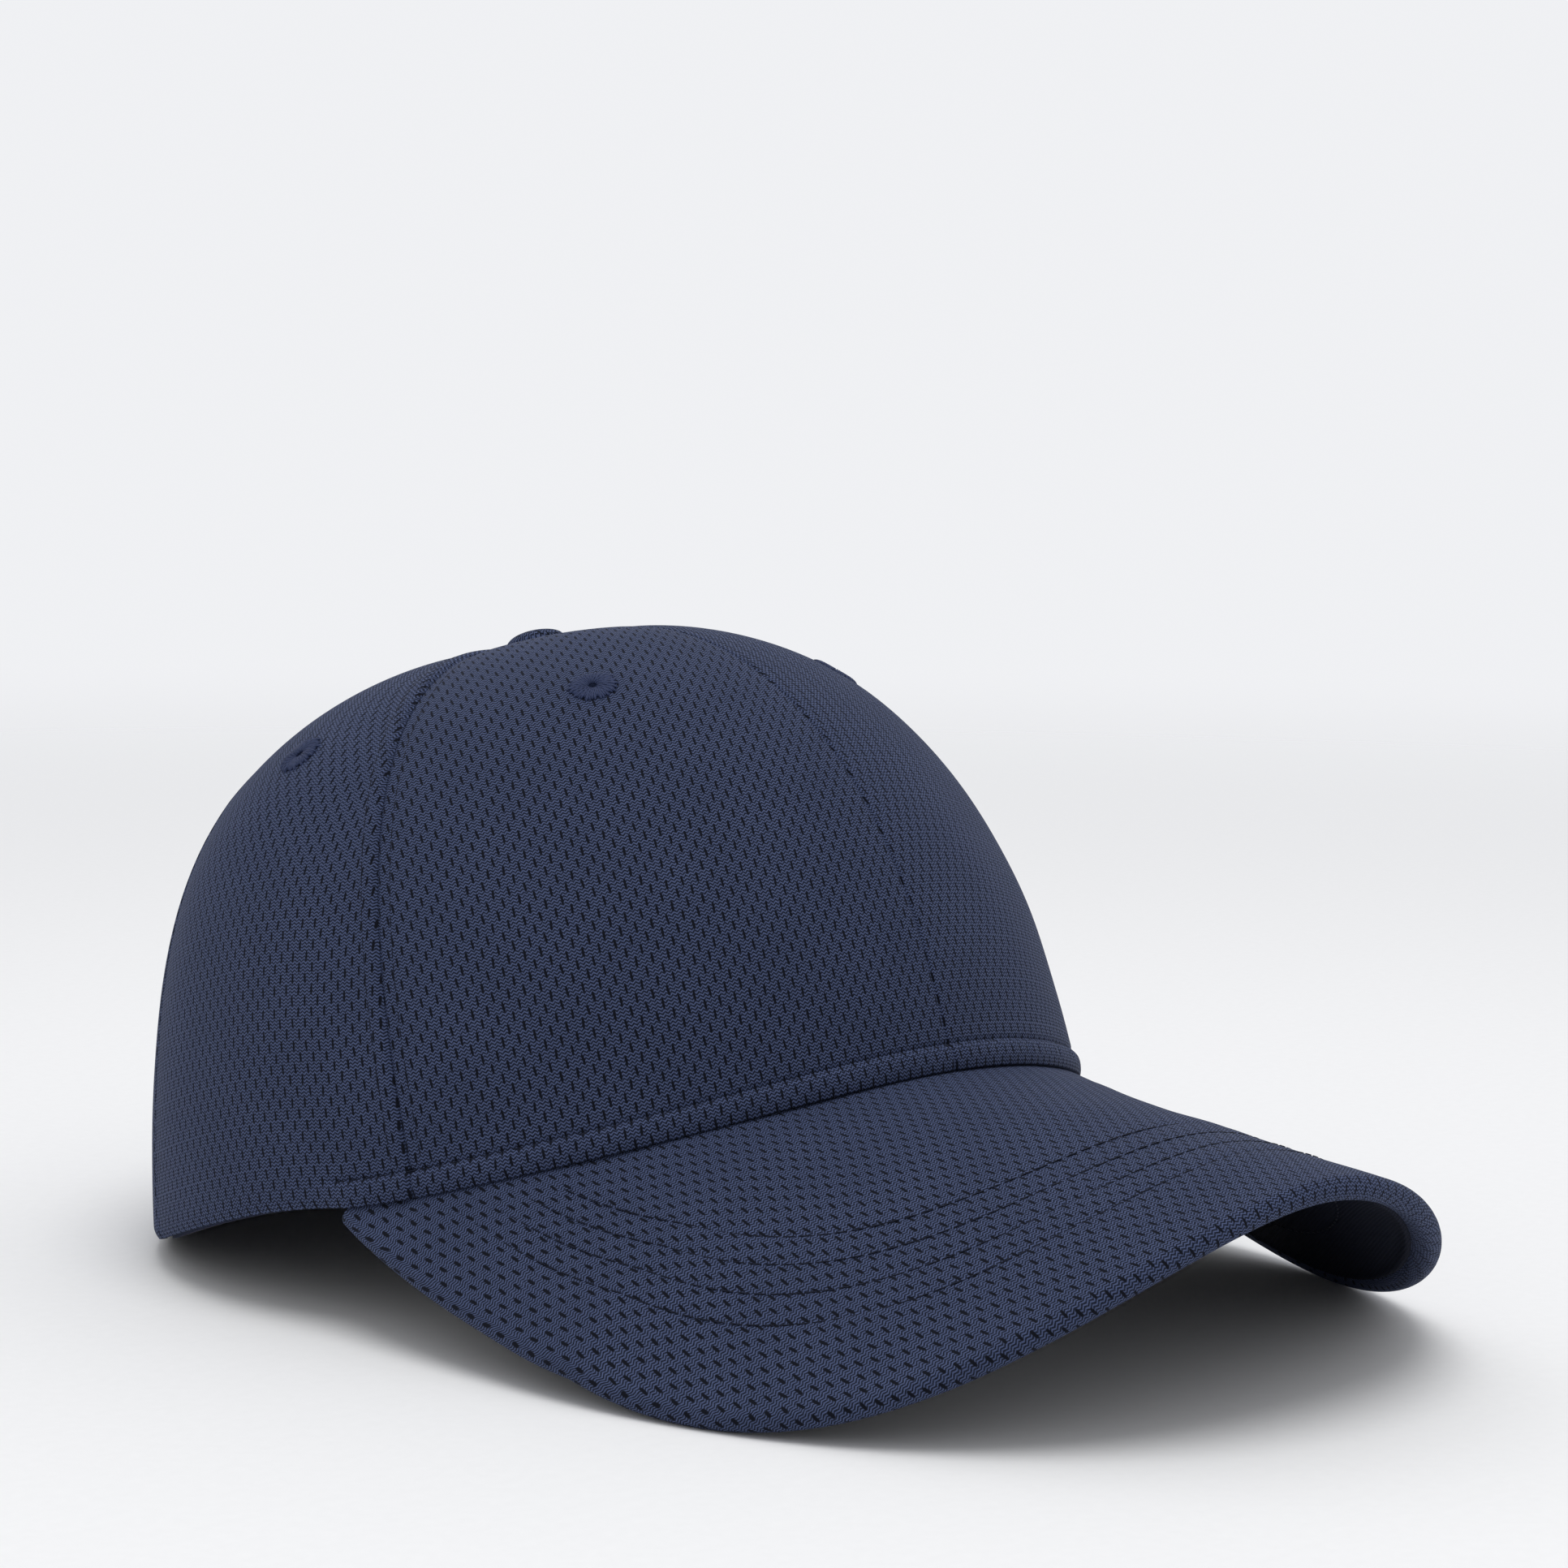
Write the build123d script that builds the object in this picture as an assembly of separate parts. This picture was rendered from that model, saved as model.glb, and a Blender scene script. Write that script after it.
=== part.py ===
from build123d import *
import math
import os

# Six-panel structured baseball cap with a curved visor and a hook-and-loop closure.
#
# Millimetres, +Z up. The visor points along -Y and +X is the wearer's left. The origin is on the floor
# under the middle of the cap's box. The cap stands on the two low sides of its visor and on the lower
# edge of its back, so the crown is pitched backwards.
#
# The crown is one curved surface. turn is the angle round it, in degrees, from 0 at the front to +90 at
# the wearer's left and 180 at the back. rise runs from 0 at the lower edge to 1 at the button. Every
# layer of cloth is a closed solid at its own depth below that surface, and a negative depth is outside.

# Crown outline, seen from above
CROWN_HALF_WIDTH = 92.0
CROWN_FRONT = 95.8
CROWN_BACK = 92.8
OUTLINE_POWER = 1.96
OUTLINE_TAPER = -0.073

# Crown profile
CROWN_HEIGHT = 98.5
BUTTON_Y = -6.9
TURN_IN_POWER = 2.43
CLIMB_POWER = 2.34
CLIMB_POWER_FRONT = 0.23
BULGE = -0.021
BULGE_FRONT = 0.031
BULGE_TOP = 0.8
LEAN = -2.3
CREST = 1.3
CREST_WIDTH = 0.28
FRONT_SEAM = 66.5
BACK_SEAM = 118.0
FRONT_PUFF = 0.5
SIDE_PUFF = 1.5
PUFF_CENTRE_HEIGHT = 30.0
PITCH = 20.0
REST_TURN = 140.0
EDGE_SLOPE_KEPT = 0.6
TOP_HOLE_RADIUS = 3.4
PUFF_POWER = 0.8

# Visor, with x across it and reach forwards from the crown's front edge
VISOR_START = -7.8
VISOR_SLOPE = 23.8
VISOR_DROOP = 0.0041
VISOR_DROOP_GROWTH = 0.0037
VISOR_CURL = 4.9
VISOR_CURL_GROWTH = -13.1
VISOR_DIP = 4.3
VISOR_BUMP = 5.0
VISOR_HALF_WIDTH = 89.4
VISOR_REACH = 86.0
VISOR_WIDEST = -16.3
VISOR_SIDE_POWER = 2.32
VISOR_FRONT_POWER = 2.14
VISOR_RETURN = 0.58
VISOR_CORNER = 74.9
VISOR_THICKNESS = 4.4
REACH_SPAN = 70.0
HALF_SPAN = 80.0
DIP_SPAN = 84.0
BUMP_SPAN = 90.0

# Layers of the crown, as depths from its outer surface
PANEL = (0.0, 0.9)
BUCKRAM = (1.2, 1.9)
FRONT_TAPE = (2.2, 2.7)
BACK_TAPE = (1.3, 1.8)
SWEATBAND_PAD = (2.85, 3.2)
SWEATBAND = (3.5, 4.4)
SEAM_GAP = 0.2
BASE_GAP = 0.35
BUCKRAM_EDGE = 2.0
BUCKRAM_TOP_RADIUS = 12.0
TAPE_HALF_WIDTH = 7.0
TAPE_TOP_RADIUS = 7.5
TAPE_TOP_SHARE = 0.42
SWEATBAND_HEIGHT = 33.0
SWEATBAND_END = 140.0
PAD_TURN = 58.0
PAD_HEIGHTS = (4.0, 29.0)

# Thread, laid on the cloth in lines as wide as one stitch
THREAD_WIDTH = 0.5
THREAD_LAYER = (-0.5, -0.2)
BAND_STITCH_HEIGHT = 5.2
BAND_STITCH_END = 76.0
SEAM_STITCH_OFFSET = 2.5
STRAP_BOX_EDGE = 2.0
HOOK_BOX_LAYER = (-2.6, -2.3)
LOOP_BOX_LAYER = (3.15, 3.45)

# Eyelets
EYELETS = {"front": (32.5, 0.57), "side": (87.0, 0.58), "back": (149.0, 0.57)}
EYELET_RADIUS = 4.6
EYELET_HOLE = 1.5
EYELET_HEIGHT = 0.9
EYELET_CLEAR = 0.3
EYELET_ROUND = 0.4

# Top button
BUTTON_RADIUS = 6.3
BUTTON_HEIGHT = 3.8
BUTTON_CLOTH = 0.8
BUTTON_SHELL = 0.6
BUTTON_FIT = 0.1
BUTTON_CLEAR = 0.7
PRONG_RADIUS = 1.2
WASHER_RADIUS = 6.0
WASHER_HOLE = 1.5
WASHER_THICKNESS = 0.8
WASHER_DEPTH = 1.2

# Layers of the visor, as depths from its upper surface
TOP_COVER = (0.0, 0.8)
BOARD = (1.5, 2.9)
UNDER_COVER = (3.6, 4.4)
WRAP_UNDER = 3.0
COVER_GAP = 1.8
BOARD_INSET = 1.2
VISOR_GAP = 0.4
SHORTEST_RAY = 4.0
SHORTEST_BOARD = 12.0
RAY_COUNT = 65
STITCH_ROWS = 4
STITCH_FIRST = 17.0
STITCH_PITCH = 6.6
STITCH_END = 6.0

# Back opening and its binding
ARCH_HALF_TURN = 27.0
ARCH_HEIGHT = 50.0
ARCH_ENDS = (2.0, 178.0)
BINDING_WIDTH = 7.0
BINDING_OUT = (-0.5, -0.1)
BINDING_IN = (1.4, 1.0)

# How finely the surfaces are measured and drawn: small steps in turn (degrees), rise and reach (mm),
# rows and columns of points for each kind of layer, and the most that a surface may miss its points
TURN_STEP = 0.4
RISE_STEP = 0.006
RISE_ENDS = (0.004, 0.995)
REACH_STEP = 1.0
REACH_ROUNDS = 12
GORE_GRID = (15, 13)
TAPE_GRID = (21, 4)
SWEATBAND_GRID = (7, 61)
PAD_GRID = (5, 31)
STITCH_GRID = (2, 61)
BOX_STITCH_GRID = (2, 5)
STRAP_ROWS = 5
VISOR_ROWS = 9
RIM_STEPS = 9
FLAP_STEPS = 5
ARCH_STEPS = 33
SURFACE_TOLERANCE = 0.03

# Closure straps: heights above the crown's lower edge, and turns
STRAP_HEIGHTS = (2.5, 23.5)
STRAP_CORNER = 6.0
HOOK_STRAP = (-2.2, -0.8)
HOOK_PATCH = (-0.7, 0.5)
LOOP_PATCH = (0.85, 1.65)
LOOP_STRAP = (1.75, 3.1)
HOOK_ROOT = (-142.0, -152.6)
HOOK_FREE = (-153.0, -196.0)
LOOP_ROOT = (142.0, 151.6)
LOOP_FREE = (152.0, 197.0)
PATCH_EDGE = 1.5
HOOK_PATCH_TURNS = (-172.0, -194.5)
LOOP_PATCH_TURNS = (160.0, 195.5)


def signed_power(value, power):
    return math.copysign(abs(value) ** power, value)


def blend(low, high, share):
    return low + (high - low) * share


def steps(low, high, count):
    """count values from low to high, both included."""
    return [blend(low, high, i / (count - 1)) for i in range(count)]


def outline_point(turn, inset=0.0):
    """x and y of the crown's lower edge, moved inwards by inset."""
    side = signed_power(math.sin(math.radians(turn)), 2 / OUTLINE_POWER)
    front = signed_power(math.cos(math.radians(turn)), 2 / OUTLINE_POWER)
    length = CROWN_FRONT if front > 0 else CROWN_BACK
    keep = 1 - inset / CROWN_HALF_WIDTH
    x = CROWN_HALF_WIDTH * side * (1 + OUTLINE_TAPER * front) * keep
    return x, -length * front * keep


def visor_drop(x, reach):
    """How far the visor has dropped below its flat, sloping middle line."""
    share = reach / REACH_SPAN
    bend = (VISOR_DROOP + VISOR_DROOP_GROWTH * share) * x**2
    curl = (VISOR_CURL + VISOR_CURL_GROWTH * share) * (x / HALF_SPAN) ** 4
    middle = max(1 - (x / BUMP_SPAN) ** 2, 0) ** 2
    wave = math.sin(math.pi * min(max(reach / DIP_SPAN, 0), 1))
    return bend + curl + (VISOR_DIP - VISOR_BUMP * middle) * wave


def visor_top(x, reach):
    """Point on the visor's upper surface, in the crown's own frame."""
    slope = math.radians(VISOR_SLOPE)
    drop = visor_drop(x, reach)
    y = -CROWN_FRONT - reach * math.cos(slope) + drop * math.sin(slope)
    z = VISOR_START - reach * math.sin(slope) - drop * math.cos(slope)
    return Vector(x, y, z)


def visor_normal(x, reach):
    """Upward unit normal of the visor's upper surface."""
    half = REACH_STEP / 2
    across = visor_top(x + half, reach) - visor_top(x - half, reach)
    along = visor_top(x, reach + half) - visor_top(x, reach - half)
    normal = along.cross(across).normalized()
    return normal if normal.Z > 0 else -normal


def visor_point(x, reach, depth=0.0):
    return visor_top(x, reach) - visor_normal(x, reach) * depth


def reach_at(x, y):
    """Reach of the visor's point that lies over x and y."""
    slope = math.radians(VISOR_SLOPE)
    reach = 0.0
    for _ in range(REACH_ROUNDS):
        drop = visor_drop(x, reach)
        reach = (drop * math.sin(slope) - CROWN_FRONT - y) / math.cos(slope)
    return reach


def visor_edge():
    """x and reach along the middle of the visor's rolled edge, from the wearer's right to the left."""
    half = []
    for angle in steps(0, 90, 61):
        x = VISOR_HALF_WIDTH * math.sin(math.radians(angle)) ** (2 / VISOR_SIDE_POWER)
        forward = abs(math.cos(math.radians(angle))) ** (2 / VISOR_FRONT_POWER)
        half.append((x, blend(VISOR_WIDEST, VISOR_REACH, forward)))
    corner_x, corner_y = outline_point(VISOR_CORNER)
    corner_reach = reach_at(corner_x, corner_y)
    for share in steps(0, 1, 21)[1:]:
        pull = VISOR_RETURN * share**2 + (1 - VISOR_RETURN) * share**4
        half.append((blend(VISOR_HALF_WIDTH, corner_x, pull), blend(VISOR_WIDEST, corner_reach, share)))
    return [(-x, reach) for x, reach in reversed(half[1:])] + half


def visor_root():
    """x and reach along the visor's inner edge, just clear of the crown's front edge."""
    line = []
    for turn in steps(-VISOR_CORNER, VISOR_CORNER, 121):
        x, y = outline_point(turn, -VISOR_GAP)
        line.append((x, reach_at(x, y)))
    return line


def evenly(points, count):
    """count points at equal distances along a line of 2D points."""
    lengths = [0.0]
    for start, end in zip(points, points[1:]):
        lengths.append(lengths[-1] + math.dist(start, end))
    result = []
    index = 0
    for wanted in steps(0, lengths[-1], count):
        while index < len(points) - 2 and lengths[index + 1] < wanted:
            index += 1
        share = (wanted - lengths[index]) / (lengths[index + 1] - lengths[index])
        start, end = points[index], points[index + 1]
        result.append((blend(start[0], end[0], share), blend(start[1], end[1], share)))
    return result


def pitched(point):
    """From the crown's own frame to a frame that stands level, before it is centred."""
    pitch = math.radians(PITCH)
    y = point.Y * math.cos(pitch) + point.Z * math.sin(pitch)
    z = point.Z * math.cos(pitch) - point.Y * math.sin(pitch)
    return Vector(point.X, y, z)


def find_floor():
    """Height of the lowest point of the visor's rolled edge, before the cap is set down."""
    lowest = min(pitched(visor_point(x, reach, VISOR_THICKNESS / 2)).Z for x, reach in visor_edge())
    return lowest - VISOR_THICKNESS / 2


FLOOR = find_floor()


def visor_level(turn):
    """Height above the floor of the visor's upper surface at the crown's edge."""
    x, y = outline_point(turn)
    return pitched(visor_top(x, reach_at(x, y))).Z - FLOOR


def back_edge_level(turn):
    """Height above the floor of the crown's lower edge behind the visor: it falls to rest on the floor."""
    start = visor_level(VISOR_CORNER)
    span = REST_TURN - VISOR_CORNER
    slope = (start - visor_level(VISOR_CORNER - 1)) * span * EDGE_SLOPE_KEPT
    share = min((turn - VISOR_CORNER) / span, 1)
    fall = 2 * share**3 - 3 * share**2 + 1
    lead = share**3 - 2 * share**2 + share
    return max(fall * start + lead * slope, 0)


def base_height(turn):
    """Height of the crown's lower edge in the crown's own frame."""
    angle = abs((turn + 180) % 360 - 180)
    x, y = outline_point(angle)
    if angle <= VISOR_CORNER:
        return visor_top(x, reach_at(x, y)).Z
    pitch = math.radians(PITCH)
    return (FLOOR + back_edge_level(angle) + y * math.sin(pitch)) / math.cos(pitch)


def puff_at(turn):
    """How far a panel's middle stands out beyond its seams, at this turn."""
    angle = abs((turn + 180) % 360 - 180)
    seams = (0, FRONT_SEAM, BACK_SEAM, 180)
    for start, end, puff in zip(seams, seams[1:], (FRONT_PUFF, SIDE_PUFF, SIDE_PUFF)):
        if angle <= end:
            share = (angle - start) / (end - start)
            return puff * 4 * share * (1 - share)


def climb_power(turn):
    return CLIMB_POWER + CLIMB_POWER_FRONT * math.cos(math.radians(turn))


def crown_surface(turn, rise):
    """Point on the crown's outer surface, in the crown's own frame."""
    edge_x, edge_y = outline_point(turn)
    base = base_height(turn)
    front = math.cos(math.radians(turn))
    angle = rise * math.pi / 2
    height = math.sin(angle) ** (2 / climb_power(turn))
    width = max(math.cos(angle), 0) ** (2 / TURN_IN_POWER)
    wide = width * (1 + (BULGE + BULGE_FRONT * front) * math.sin(math.pi * min(height / BULGE_TOP, 1)))
    crest = CREST * height**3 * (1 - math.exp(-((width / CREST_WIDTH) ** 2))) * (1 + front) / 2
    z = blend(base, CROWN_HEIGHT, height) + 2 * LEAN * front * width * height + crest
    point = Vector(edge_x * wide, BUTTON_Y + (edge_y - BUTTON_Y) * wide, z)
    outward = (point - Vector(0, BUTTON_Y, PUFF_CENTRE_HEIGHT)).normalized()
    return point + outward * puff_at(turn) * math.sin(math.pi * rise) ** PUFF_POWER


def along_crown(turn, rise):
    """How the crown's surface moves for one degree of turn and for one unit of rise."""
    half_turn, half_rise = TURN_STEP / 2, RISE_STEP / 2
    round_it = crown_surface(turn + half_turn, rise) - crown_surface(turn - half_turn, rise)
    up_it = crown_surface(turn, rise + half_rise) - crown_surface(turn, rise - half_rise)
    return round_it / TURN_STEP, up_it / RISE_STEP


def crown_normal(turn, rise):
    """Outward unit normal of the crown's outer surface."""
    inside = min(max(rise, RISE_ENDS[0]), RISE_ENDS[1])
    round_it, up_it = along_crown(turn, inside)
    return round_it.cross(up_it).normalized()


def crown_point(turn, rise, depth=0.0):
    return crown_surface(turn, rise) - crown_normal(turn, rise) * depth


def rise_at(turn, height):
    """Rise of the point that is this far above the crown's lower edge."""
    share = height / (CROWN_HEIGHT - base_height(turn))
    return math.asin(share ** (climb_power(turn) / 2)) * 2 / math.pi


def radius_at(rise):
    """Rough radius of the crown at this rise."""
    return CROWN_HALF_WIDTH * math.cos(rise * math.pi / 2) ** (2 / TURN_IN_POWER)


def rise_of_radius(radius):
    """Rise at which the crown has closed in to this radius."""
    return math.acos((radius / CROWN_HALF_WIDTH) ** (TURN_IN_POWER / 2)) * 2 / math.pi


def degrees_for(length, rise):
    return math.degrees(length / radius_at(rise))


def find_middle():
    """y of the middle of the cap's box, before it is centred."""
    front = min(pitched(visor_point(x, reach, VISOR_THICKNESS / 2)).Y for x, reach in visor_edge())
    heights = steps(*STRAP_HEIGHTS, 22)
    back = max(pitched(crown_point(180, rise_at(180, height), HOOK_STRAP[0])).Y for height in heights)
    return (front - VISOR_THICKNESS / 2 + back) / 2


MIDDLE = find_middle()


def settle(point):
    """From the crown's own frame to the cap's frame, as it stands."""
    return pitched(point) - Vector(0, MIDDLE, FLOOR)


def sheet(outer, inner):
    """Closed solid between two grids of points with the same rows and columns."""
    faces = []
    for grid in (outer, inner):
        points = [[settle(point) for point in row] for row in grid]
        faces.append(Face.make_surface_from_array_of_points(points, tol=SURFACE_TOLERANCE))
    sides = [Face.make_surface_from_curves(a, b) for a, b in zip(faces[0].edges(), faces[1].edges())]
    return Solid(Shell([*faces, *sides]))


def crown_layer(place, layer, counts):
    """Solid layer of the crown; place turns two shares, up and across, into a turn and a rise."""
    rows, columns = counts
    grids = []
    for depth in layer:
        grid = []
        for up in steps(0, 1, rows):
            grid.append([crown_point(*place(up, across), depth) for across in steps(0, 1, columns)])
        grids.append(grid)
    return sheet(*grids)


def gore(start, end, layer, edge, low, top_radius):
    """One panel of a layer, between two seams, kept clear of them by edge."""
    top = rise_of_radius(top_radius)

    def place(up, across):
        rise = blend(rise_at(blend(start, end, across), low), top, up)
        gap = degrees_for(edge, rise)
        return blend(start + gap, end - gap, across), rise

    return crown_layer(place, layer, GORE_GRID)


def tape(seam, layer, low):
    """Seam tape, narrower where the seams meet at the top."""
    top = rise_of_radius(TAPE_TOP_RADIUS)

    def place(up, across):
        rise = blend(rise_at(seam, low), top, up)
        half = min(TAPE_HALF_WIDTH, TAPE_TOP_SHARE * radius_at(rise))
        return seam + degrees_for(half, rise) * blend(-1, 1, across), rise

    return crown_layer(place, layer, TAPE_GRID)


def band(turns, heights, layer, counts):
    """Strip along the crown's lower edge."""
    def place(up, across):
        turn = blend(*turns, across)
        return turn, rise_at(turn, blend(*heights, up))

    return crown_layer(place, layer, counts)


def crown_plane(turn, rise, depth=0.0):
    """Plane on the crown with its z axis pointing outwards."""
    point = crown_point(turn, rise, depth)
    outward = settle(point + crown_normal(turn, rise)) - settle(point)
    return Plane(origin=settle(point), z_dir=outward)


def spherical_cap(radius, height):
    """Solid dome that stands on z = 0."""
    ball = (radius**2 + height**2) / (2 * height)
    dome = Pos(0, 0, height - ball) * Sphere(ball)
    return dome & Pos(0, 0, height / 2) * Cylinder(radius * 2, height)


def make_eyelet(turn, rise):
    """Ring of satin stitches round a punched hole."""
    ring = Cylinder(EYELET_RADIUS, EYELET_HEIGHT, align=(Align.CENTER, Align.CENTER, Align.MIN))
    rim = ring.edges().group_by(Axis.Z)[-1]
    ring = fillet(rim, EYELET_ROUND) - Cylinder(EYELET_HOLE, 4 * EYELET_HEIGHT)
    return crown_plane(turn, rise, -EYELET_CLEAR).location * ring


def eyelet_cutter(turn, rise):
    return crown_plane(turn, rise).location * Cylinder(EYELET_HOLE, 10)


def make_button():
    """Cloth cover, metal shell, prong and washer of the top button."""
    apex = Vector(0, BUTTON_Y, CROWN_HEIGHT)
    up = settle(apex + Vector(0, 0, 1)) - settle(apex)
    seat = Plane(origin=settle(apex), z_dir=up).location
    inner_radius = BUTTON_RADIUS - BUTTON_CLOTH
    inner_height = BUTTON_HEIGHT - BUTTON_CLOTH
    cover = spherical_cap(BUTTON_RADIUS, BUTTON_HEIGHT) - spherical_cap(inner_radius, inner_height)
    shell_radius = inner_radius - BUTTON_FIT
    shell_height = inner_height - BUTTON_FIT
    hollow_height = shell_height - BUTTON_SHELL
    shell = spherical_cap(shell_radius, shell_height)
    shell = shell - spherical_cap(shell_radius - BUTTON_SHELL, hollow_height)
    prong_bottom = -WASHER_DEPTH - WASHER_THICKNESS - BUTTON_SHELL
    prong_top = BUTTON_CLEAR + hollow_height - BUTTON_FIT
    upright = (Align.CENTER, Align.CENTER, Align.MIN)
    prong = Pos(0, 0, prong_bottom) * Cylinder(PRONG_RADIUS, prong_top - prong_bottom, align=upright)
    washer = Cylinder(WASHER_RADIUS, WASHER_THICKNESS) - Cylinder(WASHER_HOLE, 2 * WASHER_THICKNESS)
    lift = Pos(0, 0, BUTTON_CLEAR)
    return {
        "button_cover": seat * lift * cover,
        "button_shell": seat * lift * shell,
        "button_prong": seat * prong,
        "button_washer": seat * Pos(0, 0, -WASHER_DEPTH - WASHER_THICKNESS / 2) * washer,
    }


def arch_at(angle):
    """Turn and rise on the edge of the back opening, from its left foot over the top to its right."""
    turn = 180 - ARCH_HALF_TURN * math.cos(math.radians(angle))
    return turn, rise_at(turn, ARCH_HEIGHT * math.sin(math.radians(angle)))


def arch_cutter():
    """Block that cuts the back opening."""
    curve = []
    for angle in steps(0, 180, 25):
        point = settle(crown_point(*arch_at(angle)))
        curve.append(Vector(point.X, 0, point.Z))
    below = Vector(0, 0, -ARCH_HEIGHT)
    sides = [curve[-1], curve[-1] + below, curve[0] + below, curve[0]]
    edges = [Edge.make_spline(curve)]
    edges += [Edge.make_line(a, b) for a, b in zip(sides, sides[1:])]
    return Solid.extrude(Face(Wire(edges)), Vector(0, 2 * CROWN_BACK, 0))


def slide_on_crown(turn, rise, direction, distance):
    """Turn and rise of the point reached by moving along the crown's surface."""
    round_it, up_it = along_crown(turn, rise)
    move = direction * distance
    a, b, c = round_it.dot(round_it), round_it.dot(up_it), up_it.dot(up_it)
    p, q = move.dot(round_it), move.dot(up_it)
    spread = a * c - b * b
    return turn + (c * p - b * q) / spread, rise + (a * q - b * p) / spread


def binding_profile(out_depth, in_depth):
    """Distances from the opening's edge and depths, from the outer flap round to the inner one."""
    middle = (out_depth + in_depth) / 2
    radius = (in_depth - out_depth) / 2
    flap = steps(BINDING_WIDTH, 0, FLAP_STEPS)
    profile = [(distance, out_depth) for distance in flap[:-1]]
    for angle in steps(-90, 90, RIM_STEPS):
        swing = math.radians(angle)
        profile.append((-radius * math.cos(swing), middle + radius * math.sin(swing)))
    return profile + [(distance, in_depth) for distance in reversed(flap[:-1])]


def away_from_arch(angle):
    """Direction along the crown, square to the opening's edge and away from the opening."""
    turn, rise = arch_at(angle)
    ahead = crown_point(*arch_at(angle + 1)) - crown_point(*arch_at(angle - 1))
    away = crown_normal(turn, rise).cross(ahead).normalized()
    into = crown_point(180, rise) - crown_point(turn, rise) + Vector(0, 0, -1)
    return away if away.dot(into) < 0 else -away


def make_binding():
    """Strip of cloth folded over the edge of the back opening."""
    grids = []
    for out_depth, in_depth in zip(BINDING_OUT, BINDING_IN):
        profile = binding_profile(out_depth, in_depth)
        grid = []
        for angle in steps(*ARCH_ENDS, ARCH_STEPS):
            away = away_from_arch(angle)
            row = [(slide_on_crown(*arch_at(angle), away, distance), depth) for distance, depth in profile]
            grid.append([crown_point(*place, depth) for place, depth in row])
        grids.append(grid)
    return sheet(*grids)


def strap(turns, layer, columns, free_end=False, heights=STRAP_HEIGHTS):
    """Band of the closure; its free end has rounded corners."""
    middle = sum(heights) / 2
    half = (heights[1] - heights[0]) / 2
    length = math.radians(abs(turns[1] - turns[0])) * CROWN_BACK

    def place(up, across):
        turn = blend(*turns, across)
        to_end = length * (1 - across)
        reach = half
        if free_end and to_end < STRAP_CORNER:
            reach = half - STRAP_CORNER + math.sqrt(STRAP_CORNER**2 - (STRAP_CORNER - to_end) ** 2)
        return turn, rise_at(turn, middle + reach * blend(-1, 1, up))

    return crown_layer(place, layer, (STRAP_ROWS, columns))


def thread_box(turns, layer):
    """Four straight runs of stitching round a strap's sewn end."""
    low, high = STRAP_HEIGHTS[0] + STRAP_BOX_EDGE, STRAP_HEIGHTS[1] - STRAP_BOX_EDGE
    inset = math.copysign(math.degrees(STRAP_BOX_EDGE / CROWN_BACK), turns[1] - turns[0])
    width = math.copysign(math.degrees(THREAD_WIDTH / CROWN_BACK), inset)
    start, end = turns[0] + inset, turns[1] - inset
    runs = []
    for level in (low, high):
        runs.append(band((start, end), (level, level + THREAD_WIDTH), layer, BOX_STITCH_GRID))
    for turn in (start, end - width):
        heights = (low + 2 * THREAD_WIDTH, high - THREAD_WIDTH)
        runs.append(band((turn, turn + width), heights, layer, BOX_STITCH_GRID[::-1]))
    return Compound(children=runs)


def make_rays(shortest):
    """Pairs of places, root and edge, across the visor wherever it is at least this long."""
    pairs = zip(evenly(visor_root(), RAY_COUNT), evenly(visor_edge(), RAY_COUNT))
    return [(root, edge) for root, edge in pairs if math.dist(root, edge) >= shortest]


def along_ray(root, edge, share):
    """Place on a ray, from 0 at the visor's root to 1 at its edge."""
    return blend(root[0], edge[0], share), blend(root[1], edge[1], share)


def share_left(root, edge, from_edge):
    """Share of a ray that ends at this distance from the visor's edge."""
    return 1 - from_edge / math.dist(root, edge)


def edge_frames(rays):
    """Centre, upward normal and outward direction of the rolled edge at each ray."""
    centres = [visor_point(*edge, VISOR_THICKNESS / 2) for _, edge in rays]
    frames = []
    for i, (root, edge) in enumerate(rays):
        ahead = centres[min(i + 1, len(rays) - 1)] - centres[max(i - 1, 0)]
        normal = visor_normal(*edge)
        outward = ahead.cross(normal).normalized()
        inwards = visor_point(*root) - visor_point(*edge)
        frames.append((centres[i], normal, outward if outward.dot(inwards) < 0 else -outward))
    return frames


def make_top_cover():
    """Upper cloth of the visor, wrapped round the edge and a little way under it."""
    rays = make_rays(SHORTEST_RAY)
    frames = edge_frames(rays)
    grids = []
    for depth in TOP_COVER:
        radius = VISOR_THICKNESS / 2 - depth
        grid = []
        for share in steps(0, 1, VISOR_ROWS + 1)[:-1]:
            grid.append([visor_point(*along_ray(*ray, share), depth) for ray in rays])
        for angle in steps(90, -90, RIM_STEPS):
            out_by = radius * math.cos(math.radians(angle))
            up_by = radius * math.sin(math.radians(angle))
            grid.append([centre + outward * out_by + normal * up_by for centre, normal, outward in frames])
        for inwards in (WRAP_UNDER / 2, WRAP_UNDER):
            grid.append([centre - outward * inwards - normal * radius for centre, normal, outward in frames])
        grids.append(grid)
    return sheet(*grids)


def visor_layer(layer, shortest, from_edge):
    """Flat layer of the visor that stops short of its edge."""
    rays = make_rays(shortest)
    grids = []
    for depth in layer:
        grid = []
        for share in steps(0, 1, VISOR_ROWS):
            places = [along_ray(*ray, share * share_left(*ray, from_edge)) for ray in rays]
            grid.append([visor_point(*place, depth) for place in places])
        grids.append(grid)
    return sheet(*grids)


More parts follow.
